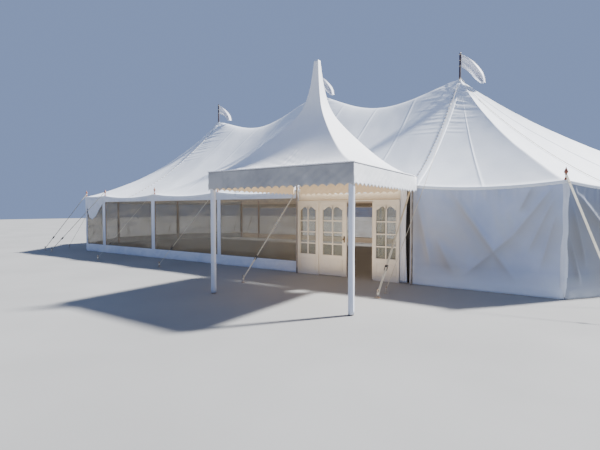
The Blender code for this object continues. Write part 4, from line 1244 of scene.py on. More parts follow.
def valance_reach(ring):
    """Depth of the canopy's valance at each point of its ring, short at the rear corners."""
    near_rear = smoothstep(0.955, 0.99, ring[:, 1])
    at_left = 1 - smoothstep(-0.93, -0.90, ring[:, 0])
    at_right = smoothstep(0.76, 0.80, ring[:, 0]) * smoothstep(0.995, 0.999, ring[:, 1])
    short = np.clip(near_rear * at_left + at_right, 0.0, 1.0)
    return VALANCE_DEPTH + (VALANCE_SHORT - VALANCE_DEPTH) * short


def porch_valance():
    """The hanging valance, with pointed scallops along its lower edge."""
    ring = square_ring(VALANCE_SIDE_STEPS)
    x, y = porch_points(ring, 1.0)
    normal = ring_normals(ring)
    across_front = np.abs(ring[:, 1]) > ON_EDGE
    run = np.where(across_front, ring[:, 0] * PORCH_HALF_WIDTH, ring[:, 1] * PORCH_HALF_DEPTH)
    tooth = np.abs(np.sin(math.pi * (run + PORCH_HALF_WIDTH) / SCALLOP_PITCH))
    depth = valance_reach(ring) - SCALLOP_DEPTH * tooth ** 0.8
    rows = []
    for share in np.linspace(0.0, 1.0, VALANCE_ROWS):
        swing = 0.006 * (1 + ripple(2.2 * run + ring[:, 0], np.full_like(run, 4.0 * share), 3.0)) * share
        crease = 0.004 * np.sin(2 * math.pi * (run + 0.5 * share) / 0.23) * smoothstep(0.0, 0.3, share)
        flare = 0.05 * share * smoothstep(0.80, 1.0, ring[:, 1]) * smoothstep(0.99, 1.0, ring[:, 0])
        out = (0.003 + np.maximum(swing + crease, 0.0) + flare)[:, None] * normal
        z = PORCH_EAVE - 0.002 - depth * share
        rows.append(np.column_stack([x + out[:, 0], y + out[:, 1], z]))
    points = np.stack(rows)[::-1]
    valance = grid_object("porch_valance", points, "valance", VALANCE_CLOTH, "porch_lining", closed=True)
    shaded = len(valance.data.materials)
    valance.data.materials.append(MATERIALS["valance_shade"])
    valance.data.materials.append(MATERIALS["porch_lining"])
    front = PORCH_CENTRE[1] - PORCH_HALF_DEPTH
    for face in valance.data.polygons:
        if face.center.y < front:
            face.material_index = shaded
    place_piece(valance)


def porch_lip():
    """The frilled lip where the canopy is laced to its valance."""
    ring = square_ring(LIP_SIDE_STEPS)
    x, y = porch_points(ring, 1.0)
    normal = ring_normals(ring)
    run = (ring[:, 0] + ring[:, 1]) * PORCH_HALF_WIDTH
    frill = 0.5 + 0.5 * np.sin(2 * math.pi * run / LIP_PITCH)
    radius = 0.010 + 0.008 * frill
    rows = []
    for turn in np.linspace(-0.25 * math.pi, 1.25 * math.pi, 7):
        out = (0.004 + radius * math.cos(turn))[:, None] * normal
        rows.append(np.column_stack([x + out[:, 0], y + out[:, 1], PORCH_EAVE + radius * math.sin(turn)]))
    place_piece(grid_object("porch_lip", np.stack(rows), "porch", THIN_CLOTH, closed=True))


def post_sleeve(name, x, y, top):
    """A cloth sleeve wrapped round a post, with long soft pleats and a lapped edge."""
    turn = np.linspace(0.0, 2 * math.pi, SLEEVE_GRID[0], endpoint=False)
    rows = []
    for height in np.linspace(0.02, top, SLEEVE_GRID[1]):
        twist = turn + 0.35 * height
        pleat = 0.0022 * np.abs(np.sin(3.5 * twist)) + 0.0015 * np.sin(11 * turn + 3.0 * height)
        slack = 0.003 * (1 + ripple(np.full(len(turn), 3.5 * height), 2.0 * turn, 2.0))
        lap = 0.003 * smoothstep(4.0, 4.05, turn) * (1 - smoothstep(5.2, 6.2, turn))
        size = SLEEVE_RADIUS + pleat + np.maximum(slack, 0.0) + lap
        level = np.full(len(turn), height)
        rows.append(np.column_stack([x + size * np.cos(turn), y + size * np.sin(turn), level]))
    look = ("strip", THIN_CLOTH)
    cloth_piece(name, np.stack(rows), look, closed=True)


def porch_cap():
    """A small turned wooden cap on the peak of the entrance canopy."""
    base = porch_height(PORCH_TIP) - 0.012
    profile = [
        (0.034, base - 0.03), (0.036, base), (0.030, base + 0.008),
        (0.016, base + 0.014), (0.004, base + 0.018),
    ]
    place_piece(turned_object("porch_cap", [profile], *PORCH_CENTRE, "strip"))


def build_porch():
    porch_cloth()
    porch_valance()
    porch_lip()
    porch_cap()
    front_y = PORCH_CENTRE[1] - PORCH_HALF_DEPTH + PORCH_POST_INSET
    for label, side in (("left", -1), ("right", 1)):
        x = PORCH_CENTRE[0] + side * (PORCH_HALF_WIDTH - PORCH_POST_INSET)
        post_sleeve(f"post_sleeve_{label}", x, front_y, PORCH_EAVE - 0.06)
    finish_node("porch_frame", "porch_metal")


# Walls

def wall_axes(start, end, inner):
    """Origin, run and outward normal of a straight wall whose inner face is that far out."""
    normal = outward(start, end)
    run = (Vector(end) - Vector(start)).normalized()
    origin = Vector(start) + normal * inner
    return np.array(origin[:]), np.array(run[:]), np.array(normal[:])


def wall_row(axes, u, out, v):
    """Points of a wall at distances u along it and out from its plane, at the height v."""
    origin, run, normal = axes
    place = origin + np.outer(u, run) + out[:, None] * normal
    return np.column_stack([place, np.broadcast_to(v, u.shape)])


def wall_head(points, u):
    """Height of a wall's top edge at distances u along its poles."""
    marks = np.concatenate([[0.0], np.cumsum([math.dist(a, b) for a, b in zip(points, points[1:])])])
    height = np.full_like(u, EAVE_HEIGHT)
    for low, high in zip(marks, marks[1:]):
        inside = (u >= low) & (u <= high)
        height = np.where(inside, eave_height(u - low, high - low), height)
    return height - WALL_HEAD_DROP


def fold_frame(u, v, start, end):
    """Distance below a straight fold's line and the share of the fold that is there."""
    start, end = np.array(start), np.array(end)
    run = end - start
    length = np.linalg.norm(run)
    run = run / length
    along = (u - start[0]) * run[0] + (v - start[1]) * run[1]
    across = -(u - start[0]) * run[1] + (v - start[1]) * run[0]
    fade = smoothstep(-0.05, 0.35, along / length) * (1 - smoothstep(0.75, 1.05, along / length))
    return -math.copysign(1.0, run[0]) * across, fade


def crease(u, v, start, end, width, height):
    """A straight fold between two points of a wall that fades out at both ends."""
    below, fade = fold_frame(u, v, start, end)
    return height * bell(below, 0.0, width) * fade


def crease_shade(u, v, start, end, width):
    """Shade below a fold, strongest at the fold itself."""
    below, fade = fold_frame(u, v, start, end)
    spread = np.exp(-np.maximum(below, 0.0) / (3.0 * width))
    return 0.85 * smoothstep(-0.4 * width, 0.5 * width, below) * spread * fade


# Folds of the solid walls: start and end as (along, up), width and height
FRONT_RIGHT_FOLDS = (
    ((0.88, 2.32), (2.30, 0.25), 0.07, 0.040),
    ((2.95, 2.34), (2.10, 1.10), 0.06, 0.045),
    ((2.45, 1.50), (1.20, 0.28), 0.07, 0.038),
    ((2.98, 2.20), (2.45, 0.85), 0.05, 0.036),
    ((3.00, 1.90), (2.70, 0.55), 0.05, 0.030),
    ((0.12, 2.20), (0.55, 0.35), 0.08, 0.030),
    ((2.55, 2.32), (2.30, 1.75), 0.04, 0.024),
    ((0.60, 1.20), (1.05, 0.30), 0.10, 0.028),
)
FACET_FOLDS = (
    ((0.06, 2.30), (1.30, 1.15), 0.07, 0.045),
    ((0.04, 2.10), (0.55, 0.60), 0.06, 0.036),
    ((0.04, 1.30), (0.40, 0.25), 0.05, 0.036),
    ((3.90, 2.30), (2.75, 1.00), 0.08, 0.040),
    ((3.95, 1.90), (3.45, 0.45), 0.06, 0.034),
    ((1.60, 2.25), (2.40, 0.50), 0.11, 0.026),
)


# Folds of a skirt below the windows, repeated along a wall
SKIRT_FOLDS = (
    ((0.15, 0.36), (0.75, 0.02), 0.030, 0.020),
    ((0.95, 0.36), (0.60, 0.02), 0.026, 0.018),
    ((1.30, 0.34), (1.55, 0.02), 0.034, 0.022),
    ((2.15, 0.36), (1.60, 0.04), 0.028, 0.018),
    ((2.40, 0.36), (2.75, 0.02), 0.030, 0.022),
    ((3.20, 0.34), (2.90, 0.02), 0.024, 0.016),
)


def bay_marks(points):
    """Distances of the poles along a straight wall."""
    return [math.dist(points[0], point) for point in points]


def wall_stations(low_u, high_u, openings, step):
    """Columns of a wall, with one at each side of every opening."""
    edges = sorted({low_u, high_u, *(u for opening in openings for u in opening)})
    stations = []
    for start, end in zip(edges, edges[1:]):
        count = max(1, round((end - start) / step))
        stations += np.linspace(start, end, count + 1)[:-1].tolist()
    return np.array([*stations, high_u])


def wall_heights(head, low_v, window_head):
    """Rows of a wall: level up to the head of the windows, then fitted to the eave."""
    marks = [mark for mark in (low_v, WINDOW_SILL, window_head) if mark >= low_v]
    rows = []
    for start, end in zip(marks, marks[1:]):
        count = max(2, round((end - start) / WALL_ROW_STEP))
        rows += [np.full_like(head, value) for value in np.linspace(start, end, count + 1)[:-1]]
    count = max(12, round((EAVE_HEIGHT - window_head) / WALL_ROW_STEP))
    rows += [window_head + (head - window_head) * share for share in np.linspace(0.0, 1.0, count)]
    return rows


def wall_openings(points, windows, strips=()):
    """Where the windows start and end; strips are the widths left and right of each inner pole."""
    marks = bay_marks(points)
    openings = []
    for index in windows:
        low = strips[index - 1][1] if strips and index > 0 else WINDOW_MARGIN
        high = strips[index][0] if index < len(strips) else WINDOW_MARGIN
        openings.append((marks[index] + low, marks[index + 1] - high))
    return openings


def mud_flap(u, v, edge, phase):
    """How far the foot of a wall reaches out: a flap on its hem, spread at the ground."""
    flap = 0.012 * (1 - smoothstep(MUD_FLAP_TOP, MUD_FLAP_TOP + 0.02, v))
    flap = flap + 0.022 * (1 - np.clip(v / 0.3, 0.0, 1.0)) ** 2
    wave = np.sin(5.1 * u + 2.0 * np.sin(1.7 * u + phase)) ** 2
    flap = flap + 0.010 * (1 - smoothstep(0.0, MUD_FLAP_TOP, v)) * wave
    return flap * (0.25 + 0.75 * edge)


def cloth_cells(u, heights, openings, window_head):
    """Cells of a wall that have cloth, all but those in its openings."""
    keep = np.ones((len(heights) - 1, len(u) - 1), bool)
    middle_u = (u[:-1] + u[1:]) / 2
    middle_v = np.array([(lower.mean() + upper.mean()) / 2 for lower, upper in zip(heights, heights[1:])])
    for low, high in openings:
        inside_u = (middle_u > low) & (middle_u < high)
        inside_v = (middle_v > WINDOW_SILL) & (middle_v < window_head)
        keep[np.outer(inside_v, inside_u)] = False
    return keep


def canvas_wall(name, points, limits, node, folds=(), openings=(), low_v=0.004, phase=0.0, material="wall",
                lining=None, window_head=WINDOW_HEAD):
    """A canvas wall: gathered along its head, folded, with a mud flap and openings for windows."""
    low_u, high_u = limits
    inner = WINDOW_WALL_INNER if openings else WALL_INNER
    axes = wall_axes(points[0], points[-1], inner + WALL_CLOTH + 0.0005)
    u = wall_stations(low_u, high_u, openings, WINDOW_WALL_COLUMN_STEP if openings else SOLID_COLUMN_STEP)
    head = wall_head(points, u)
    heights = wall_heights(head, low_v, window_head)
    rows, shades = [], []
    for v in heights:
        share = (v - low_v) / (head - low_v)
        shaded = [crease_shade(u, v, *fold[:3]) for fold in folds]
        shades.append(np.maximum.reduce([np.zeros(len(u)), *shaded]))
        gather = np.sin(2 * math.pi * u / 0.19 + phase) + 0.6 * np.sin(2 * math.pi * u / 0.115 + 2.0 + phase)
        out = 0.008 * gather * smoothstep(0.80, 0.97, share) * (1 - smoothstep(0.985, 1.0, share))
        out += 0.008 * ripple(1.6 * u + phase, 1.3 * v, phase) * smoothstep(0.0, 0.15, share)
        for start, end, width, height in folds:
            out += crease(u, v, start, end, width, height)
        edge = smoothstep(0.0, 0.08, u - low_u) * smoothstep(0.0, 0.08, high_u - u)
        out = np.maximum(0.0, out + 0.010) * edge * (1 - smoothstep(0.96, 1.0, share))
        for low, high in openings:
            near = 1 - smoothstep(0.0, 0.05, np.maximum(low - u, u - high))
            beside = smoothstep(WINDOW_SILL - 0.06, WINDOW_SILL, v)
            out *= 1 - near * beside * (1 - smoothstep(window_head, window_head + 0.05, v))
        if low_v < 0.1:
            out = out + mud_flap(u, v, edge, phase)
        rows.append(wall_row(axes, u, out, v))
    sheet = np.stack(rows)
    keep = cloth_cells(u, heights, openings, window_head)
    wall = grid_object(name, sheet, material, WALL_CLOTH, lining, keep=keep)
    # Painted shade below the folds, kept on the points for the wall's colour.
    if not openings:
        shade = wall.data.attributes.new("fold", "FLOAT", "POINT")
        shade.data.foreach_set("value", np.clip(np.stack(shades).ravel(), 0.0, 1.0))
    place_piece(wall, node)
    across, along = runs(sheet)
    flat = (float(across.max()), float(along.max()))
    cut = surface_area(sheet) - sum((high - low) * (window_head - WINDOW_SILL) for low, high in openings)
    cut = min(max(cut, LEAST_CUT_SHARE * flat[0] * flat[1]), flat[0] * flat[1])


def clear_window(name, points, limits, openings, node):
    """The clear sheet behind a wall's openings, which bulges a little in each of them."""
    low_u, high_u = limits[0] + 0.002, limits[1] - 0.002
    axes = wall_axes(points[0], points[-1], WALL_INNER + 0.0012)
    u = wall_stations(low_u, high_u, openings, CLEAR_COLUMN_STEP)
    rows = []
    for v in np.linspace(WINDOW_SILL - CLEAR_LAP, WINDOW_HEAD + CLEAR_LAP, CLEAR_ROWS):
        out = np.zeros_like(u)
        for low, high in openings:
            free = smoothstep(0.0, 0.25, u - low) * smoothstep(0.0, 0.25, high - u)
            free = free * smoothstep(WINDOW_SILL, WINDOW_SILL + 0.2, v)
            free = free * smoothstep(0.0, 0.2, WINDOW_HEAD - v)
            wrinkle = 0.005 * ripple(2.6 * u, 4.0 * v, 1.0) + 0.0025 * ripple(7.0 * u, 2.2 * v, 2.6)
            pull = 0.003 * np.sin(2 * math.pi * (v + 0.10 * np.sin(1.3 * u)) / 0.33)
            out += free * (0.012 + wrinkle + pull)
        rows.append(wall_row(axes, u, np.maximum(out, 0.0), v))
    cloth_piece(name, np.stack(rows), ("clear", CLEAR_FILM), node)


def corner_strip(index, inner):
    """A light strip of cloth over the corner where two walls meet at a pole."""
    before, here, after = POLES[index - 1], POLES[index], POLES[(index + 1) % len(POLES)]
    corner = np.array(here[1:])
    normals = [np.array(outward(before[1:], here[1:])[:]), np.array(outward(here[1:], after[1:])[:])]
    both = normals[0] + normals[1]
    tip = both * (2 / (both @ both))
    lift = inner + WALL_CLOTH + 0.008
    stations = []
    for reach in STRIP_REACHES:
        normal = normals[0] if reach < 0 else normals[1]
        run = np.array((-normal[1], normal[0]))
        hem = STRIP_HEM if abs(reach) == STRIP_REACHES[-1] else 0.0
        stations.append(corner + tip * (lift if reach else lift - 0.001) + run * reach - hem * normal)
    stations = np.array(stations)
    across = np.linspace(-1.0, 1.0, len(stations))
    rows = []
    for v in np.linspace(0.05, EAVE_HEIGHT - 0.03, STRIP_ROWS):
        pucker = 0.003 * (1 + np.sin(9.0 * v + 3.0 * across)) * (1 - across ** 2)
        rows.append(np.column_stack([stations + np.outer(pucker, tip), np.full(len(stations), v)]))
    name = f"corner_strip_{here[0]}"
    cloth_piece(name, np.stack(rows), ("strip", STRIP_CLOTH))


def swag(points):
    """A short gathered cloth that hangs outside the window next to the left corner."""
    axes = wall_axes(points[0], points[-1], WINDOW_WALL_INNER + 0.016)
    u = np.linspace(*SWAG_SPAN, SWAG_GRID[0])
    x = points[0][0] + u
    lower = np.interp(x, SWAG_XS, SWAG_LOWS)
    rows = []
    for share in np.linspace(0.0, 1.0, SWAG_GRID[1]):
        v = lower + (SWAG_TOP - lower) * share
        pleat = 0.5 + 0.5 * np.sin(2 * math.pi * (u + 0.05 * share) / 0.072 + 0.8 * np.sin(9.0 * u))
        out = 0.004 + 0.020 * pleat * (1 - 0.55 * share)
        rows.append(wall_row(axes, u, out, v))
    sheet = np.stack(rows)
    cloth = place_piece(grid_object("window_swag", sheet, "strip", THIN_CLOTH))


def door_curtain(points):
    """The loose pleated strip between the door set and the solid wall."""
    axes = wall_axes(points[0], points[-1], WALL_INNER + 0.006)
    low = DOOR_SET_RIGHT - points[0][0] + 0.004
    head = EAVE_HEIGHT - 0.07
    u = np.linspace(0.0, 1.0, CURTAIN_GRID[0])
    rows = []
    for share in np.linspace(0.0, 1.0, CURTAIN_GRID[1]):
        width = 0.165 - 0.035 * math.sin(math.pi * share) + 0.02 * (1 - share)
        pleat = np.abs(np.sin(math.pi * (4.0 * u + 0.25 * math.sin(3.0 * share))))
        out = 0.002 + 0.030 * pleat * (1 - 0.4 * share)
        rows.append(wall_row(axes, low + width * u, out, 0.012 + (head - 0.012) * share))
    cloth_piece("door_curtain", np.stack(rows), ("porch", THIN_CLOTH))


def slit_shade_sheet():
    """A near-black sheet in the slit beside the doors: painted shade where the gap is dark."""
    x = np.linspace(DOOR_SET_RIGHT + 0.02, SOLID_WALL_LEFT + 0.05, SLIT_SHADE_GRID[0])
    rows = []
    for v in np.linspace(0.012, EAVE_HEIGHT - 0.10, SLIT_SHADE_GRID[1]):
        y = SLIT_SHADE_PLACE + 0.010 * np.sin(2 * math.pi * x / 0.09 + 0.8 * math.sin(1.7 * v))
        rows.append(np.column_stack([x, y, np.full_like(x, v)]))
    cloth_piece("slit_shade_sheet", np.stack(rows), ("flap", THIN_CLOTH))


def repeated_folds(folds, pitch, limits):
    """The same folds again and again along a wall."""
    low, high = limits
    made = []
    for step in range(int((high - low) / pitch) + 1):
        shift = low + step * pitch
        flip = 1 if step % 2 == 0 else -1
        for (a, b), (c, d), width, height in folds:
            if flip < 0:
                a, c = pitch - a, pitch - c
            if low <= shift + min(a, c) and shift + max(a, c) <= high:
                made.append(((shift + a, b), (shift + c, d), width, height))
    return made


def build_walls():
    points = {label: (x, y) for label, x, y in POLES}
    front = [points[f"front_{index}"] for index in range(1, 8)]
    back = [points[f"back_{index}"] for index in range(7, 0, -1)]
    right = [front[6], points["right_1"], points["right_2"], back[0]]
    left = [back[6], points["left_1"], points["left_2"], front[0]]
    end_turn = 2 * CORNER_ANGLE / END_FACETS
    first_turn = math.pi / 2 - (CORNER_ANGLE - end_turn / 2)
    turns = (first_turn, end_turn, end_turn, first_turn)
    extras = [(WALL_INNER + WALL_CLOTH) * math.tan(turn / 2) for turn in turns]
    length = math.dist(front[0], front[-1])
    doors_low, doors_high = DOOR_SET_LEFT - front[0][0], DOOR_SET_RIGHT - front[0][0]
    limits = (-extras[0], doors_low - 0.002)
    folds = repeated_folds(SKIRT_FOLDS, FRONT_BAY, limits)
    openings = wall_openings(front, range(4), FRONT_STRIPS)
    canvas_wall("wall_cloth_front_left", front, limits, "wall_front_left", folds, openings, material="strip")
    clear_window("clear_front_left", front, limits, openings, "window_front_left")
    swag(front)
    canvas_wall("wall_cloth_over_doors", front, (doors_low, doors_high), "wall_over_doors",
                low_v=DOOR_SET_HEIGHT + 0.002, material="porch_lining")
    door_curtain(front)
    slit_shade_sheet()
    start = SOLID_WALL_LEFT - front[0][0]
    folds = [((a[0] + start, a[1]), (b[0] + start, b[1]), w, h) for a, b, w, h in FRONT_RIGHT_FOLDS]
    canvas_wall("wall_cloth_front_right", front, (start, length + extras[0]), "wall_front_right", folds)
    limits = (-extras[0], length + extras[0])
    folds = repeated_folds(SKIRT_FOLDS, FRONT_BAY, limits)
    openings = wall_openings(back, range(6))
    canvas_wall("wall_cloth_back", back, limits, "wall_back", folds, openings, phase=0.7, material="strip",
                lining="lining", window_head=BACK_WINDOW_HEAD)
    clear_window("clear_back", back, limits, openings, "window_back")
    for index in range(3):
        pair = right[index:index + 2]
        limits = (-extras[index], math.dist(*pair) + extras[index + 1])
        canvas_wall(f"wall_cloth_right_{index + 1}", pair, limits, f"wall_right_{index + 1}", FACET_FOLDS,
                    phase=1.3 * index + 0.5, material="shaded_facet")
        pair = left[index:index + 2]
        folds = repeated_folds(SKIRT_FOLDS, FRONT_BAY, limits)
        openings = wall_openings(pair, (0,))
        canvas_wall(f"wall_cloth_left_{index + 1}", pair, limits, f"wall_left_{index + 1}", folds, openings,
                    phase=0.9 * index, material="strip")
        clear_window(f"clear_left_{index + 1}", pair, limits, openings, f"window_left_{index + 1}")
    for index, (label, *_) in enumerate(POLES):
        if label in ("front_7", "right_1", "right_2", "back_7"):
            corner_strip(index, WALL_INNER)
        elif label in ("front_1", "left_1", "left_2", "back_1"):
            corner_strip(index, WINDOW_WALL_INNER)


# Poles, guys and flags

def tie_place(index):
    """Where a pole's guy is tied, and where its stake stands."""
    label, x, y = POLES[index]
    group, number = label.rsplit("_", 1)
    shift = 0.0
    if group in ("front", "back"):
        dx, dy = FRONT_STAKES[int(number) - 1]
        dy = dy if group == "front" else -dy
        shift = FRONT_TIE_SHIFTS[int(number) - 1]
    else:
        side = 1 if group == "right" else -1
        dx, dy = (Vector((x - side * KING_SPACING, y)).normalized() * GUY_REACH)[:]
    run = Vector((dx, dy))
    level = run.length
    here = (x, y)
    reaches = []
    for normal in (outward(POLES[index - 1][1:], here), outward(here, POLES[(index + 1) % len(POLES)][1:])):
        along = run.dot(normal) / level
        across = math.sqrt(max(0.0, 1 - along ** 2))
        if along > 0.1:
            reaches.append((EAVE_OVERHANG + WEBBING_WIDTH / 2 * across) / along)
    height = GUY_CLEARANCE + min(reaches) * EAVE_HEIGHT / level
    return Vector((x + shift, y, EAVE_HEIGHT + height)), Vector((x + dx, y + dy, 0.0))


def finial_profile():
    return [(share * FINIAL_RADIUS, EAVE_HEIGHT + 0.0003 + height) for share, height in FINIAL_SHARES]


def side_pole(index):
    label, x, y = POLES[index]
    under = EAVE_HEIGHT - POLE_TOP_DROP
    profile = [
        (0.026, 0.0), (0.0285, 0.004), (POLE_RADIUS, 0.012), (POLE_RADIUS, 0.9), (POLE_RADIUS, under - 0.004),
        (0.026, under), (0.012, under), (0.012, EAVE_HEIGHT + 0.01),
    ]
    pole = turned_object(f"pole_{label}", [profile], x, y, "pole")
    place_piece(pole, f"side_pole_{label}")
    place_piece(turned_object(f"finial_{label}", [finial_profile()], x, y, "finial", 28))
    spans = ((under - 0.005 - FERRULE_LENGTH, under - 0.005), (0.0, FERRULE_LENGTH + 0.003))
    bands = [band(FERRULE_RADIUS, 0.001, low, high, 0.003) for low, high in spans]
    place_piece(turned_object(f"ferrules_{label}", bands, x, y, "steel"))


def add_strap(bm, path, width):
    add_rings(bm, sweep(path, strap_section(width, STRAP_THICKNESS))[:, ::-1].tolist())


def guy(index):
    """One guy: webbing round the finial's waist, a ratchet on it, and a stake with a plate."""
    label, x, y = POLES[index]
    start, stake = tie_place(index)
    end = stake + Vector((0.0, 0.0, STAKE_TIE_HEIGHT))
    run = (end - start).normalized()
    turn = run.to_track_quat("Y", "Z")
    length = (end - start).length
    bm = bmesh.new()
    path = [start + run * (length * share) for share in np.linspace(0.002, 0.998, 12)]
    add_strap(bm, path, WEBBING_WIDTH - 0.003)
    tail = RATCHET_PLACE * length
    for low, high, lift in ((0.03, 0.22, 0.0038), (tail + 0.03, tail + 0.30, 0.004)):
        offset = turn @ Vector((0.0, 0.0, lift))
        path = [start + offset + run * value for value in np.linspace(low, high, 10)]
        add_strap(bm, path, WEBBING_WIDTH - 0.006)
    loops = ((x, y, start.z, 0.0165, 0.016), (stake.x, stake.y, end.z, STAKE_RADIUS + 0.001, 0.020))
    for loop_x, loop_y, z, radius, half in loops:
        add_turned(bm, band(radius, 0.004, z - half, z + half, 0.001), loop_x, loop_y, 20)
    place = Matrix.Translation(start + run * (length * RATCHET_PLACE)) @ turn.to_matrix().to_4x4()
    spool = bmesh.new()
    add_rod(spool, (-0.021, *RATCHET_AXLE), (0.021, *RATCHET_AXLE), SPOOL_RADIUS, 16)
    add_part(bm, spool, place)
    place_piece(bm_object(f"guy_{label}", bm, "webbing"))
    ratchet(f"ratchet_{label}", place)
    profile = [
        (STAKE_PLATE_RADIUS, 0.0), (STAKE_PLATE_RADIUS, 0.008), (0.061, 0.012), (0.030, 0.012),
        (0.021, 0.015), (0.0175, 0.020), (0.0175, STAKE_HEIGHT - 0.030), (0.0198, STAKE_HEIGHT - 0.020),
        (0.0198, STAKE_HEIGHT - 0.006), (0.013, STAKE_HEIGHT),
    ]
    place_piece(turned_object(f"stake_{label}", [profile], stake.x, stake.y, "steel"))


def ratchet(name, place):
    """A ratchet tensioner: side plates, toothed wheels, a spool, a handle with a grip and an end bolt."""
    bm = bmesh.new()
    part = bmesh.new()
    wheel = []
    for step in range(2 * RATCHET_TEETH):
        angle = math.pi * step / RATCHET_TEETH
        radius = RATCHET_TOOTH_RADII[step % 2]
        wheel.append((RATCHET_AXLE[0] + radius * math.cos(angle), RATCHET_AXLE[1] + radius * math.sin(angle)))
    plates = ((RATCHET_PLATE, 0.0285, 0.0315), (RATCHET_ARM, 0.0325, 0.0348), (wheel, 0.0235, 0.0265))
    for side in (-1, 1):
        for outline, inner, outer in plates:
            rings = [[(side * x, y, z) for y, z in outline] for x in (inner, outer)]
            add_rings(part, rings if side > 0 else rings[::-1])
    add_block(part, (-0.0285, -0.070, -0.0165), (0.0285, 0.050, -0.0140), bevel=0.0008)
    add_block(part, (-0.0300, -0.071, 0.0085), (0.0300, -0.050, 0.0155), bevel=0.0030)
    add_block(part, (-0.0220, -0.048, 0.0090), (0.0220, -0.014, 0.0115), bevel=0.0010)
    bolts = ((*RATCHET_AXLE, 0.0065, 14), (0.058, -0.003, 0.0045, 12), (-0.062, -0.010, 0.0040, 12))
    for y, z, radius, sides in bolts:
        add_rod(part, (-0.034, y, z), (0.034, y, z), radius, sides)
    bmesh.ops.recalc_face_normals(part, faces=part.faces)
    add_part(bm, part, place)
    place_piece(bm_object(name, bm, "ratchet", 30.0))


def rope(name, points):
    """A taut rope through a few points, with a faint lay of strands along it."""
    path = []
    for start, end in zip(points, points[1:]):
        start, end = Vector(start), Vector(end)
        count = max(4, round((end - start).length / ROPE_STEP))
        path += [start.lerp(end, step / count) for step in range(count)]
    path.append(Vector(points[-1]))
    smooth = [path[0]] + [(a + b * 2 + c) / 4 for a, b, c in zip(path, path[1:], path[2:])] + [path[-1]]
    centres = np.array([tuple(point) for point in smooth])
    angle = 2 * math.pi * np.arange(ROPE_SIDES) / ROPE_SIDES
    rings = []
    for index, (centre, ring) in enumerate(zip(centres, sweep(centres, round_section(1.0, ROPE_SIDES)))):
        size = ROPE_RADIUS * (1 + 0.14 * np.cos(3 * angle + 1.1 * index))
        rings.append((centre + (ring - centre) * size[:, None]).tolist()[::-1])
    bm = bmesh.new()
    add_rings(bm, rings)
    place_piece(bm_object(name, bm, "rope", 60.0))


def laid_rope(points):
    """A rope's points with its first stretch resting on the roof."""
    start, end = np.array(points[0]), np.array(points[1])
    shares = np.linspace(0.10, 0.97, 16)[:, None]
    place = start + (end - start) * shares
    place[:, 2] = roof_surface(place[:, 0], place[:, 1]) + ROPE_LIFT
    return [points[0], *map(tuple, place), *points[1:]]


def storm_ropes():
    """Thin ropes from the heads of the end king poles over the eave to stakes of their own."""
    for name, points in STORM_ROPES:
        rope(f"storm_rope_{name}", points if name == "right_front" else laid_rope(points))
        x, y, z = points[-1]
        peg = [
            (0.050, 0.0), (0.050, 0.006), (0.046, 0.009), (0.018, 0.012), (0.012, 0.016),
            (0.012, STAKE_HEIGHT - 0.040), (0.015, STAKE_HEIGHT - 0.034), (0.015, STAKE_HEIGHT - 0.024),
            (0.008, STAKE_HEIGHT - 0.020),
        ]
        tie = band(0.0125, 0.0065, z - 0.014, z + 0.014, 0.005)
        place_piece(turned_object(f"storm_stake_{name}", [peg, tie], x, y, "steel", 18))


def king_pole(label, x, apex):
    ring = apex - COLLAR_DROP
    top = apex + STAFF_RISE
    profile = [
        (0.058, 0.0), (0.063, 0.006), (KING_RADIUS, 0.02), (KING_RADIUS, 2.2), (KING_RADIUS, ring - 0.34),
        (0.060, ring - 0.05), (0.058, ring), (0.042, ring + 0.10), (STAFF_RADIUS, apex),
        (STAFF_RADIUS, top - 0.09), (0.024, top - 0.075), (0.020, top - 0.068), (0.024, top - 0.062),
        (0.033, top - 0.045), (0.034, top - 0.030), (0.029, top - 0.014), (0.014, top - 0.003), (0.002, top),
    ]
    pole = turned_object(f"king_{label}", [profile], x, 0.0, "king", 32)
    place_piece(pole, f"king_pole_{label}")
    low_bands = ((0.0, 0.09, KING_BAND_RADIUS), (ring - 0.16, ring - 0.12, KING_BAND_RADIUS))
    collars = ((ring - COLLAR_HEIGHT, ring, COLLAR_RADIUS), *low_bands)
    bands = [band(radius - 0.004, 0.004, low, high, 0.004) for low, high, radius in collars]
    place_piece(turned_object(f"king_collar_{label}", bands, x, 0.0, "steel", 32))


def pennant(label, x, apex, droop):
    """A limp pennant whose folds run from its hoist down to its tail."""
    top = apex + STAFF_RISE - 0.06
    left = STAFF_RADIUS + 0.002
    upper = ((0.0, 0.0), (0.39, 0.25 * droop), (0.702, 0.65 * droop), (0.78, droop))
    lower = ((0.0, 0.42), (0.27, 0.60 * droop + 0.02), (0.44, 0.82 * droop), (0.64, droop))
    upper, lower = ((left, top) + np.array(edge) * (1.0, -1.0) for edge in (upper, lower))
    rows = []
    across = np.linspace(0.0, 1.0, PENNANT_GRID[1])
    for share in np.linspace(0.0, 1.0, PENNANT_GRID[0]):
        first, second = smooth_point(upper, share), smooth_point(lower, share)
        first = first - np.array((0.0, 0.05 * math.sin(math.pi * share)))
        line = second + np.outer(across, first - second)
        depth = 0.012 + 0.062 * smoothstep(0.0, 0.75, share)
        phase = 2 * math.pi * (1.9 * across + 0.35 * share) + 0.5
        fold = depth * np.sin(phase) + 0.012 * share * np.sin(2 * math.pi * 4.3 * across + 1.0)
        fold = fold * smoothstep(0.0, 0.08, share)
        sway = 0.02 * math.sin(3.0 * share)
        rows.append(np.column_stack([x + line[:, 0], fold + sway * share, line[:, 1]]))
    points = np.stack(rows).transpose(1, 0, 2)
    look = ("flag", PENNANT_CLOTH)
    cloth_piece(f"pennant_{label}", points, look, f"flag_{label}")
    heights = [top - drop for drop in PENNANT_TIE_DROPS]
    bands = [band(0.0345, 0.0055, height - 0.006, height + 0.006, 0.003) for height in heights]
    place_piece(turned_object(f"pennant_ties_{label}", bands, x, 0.0, "rope", 18))


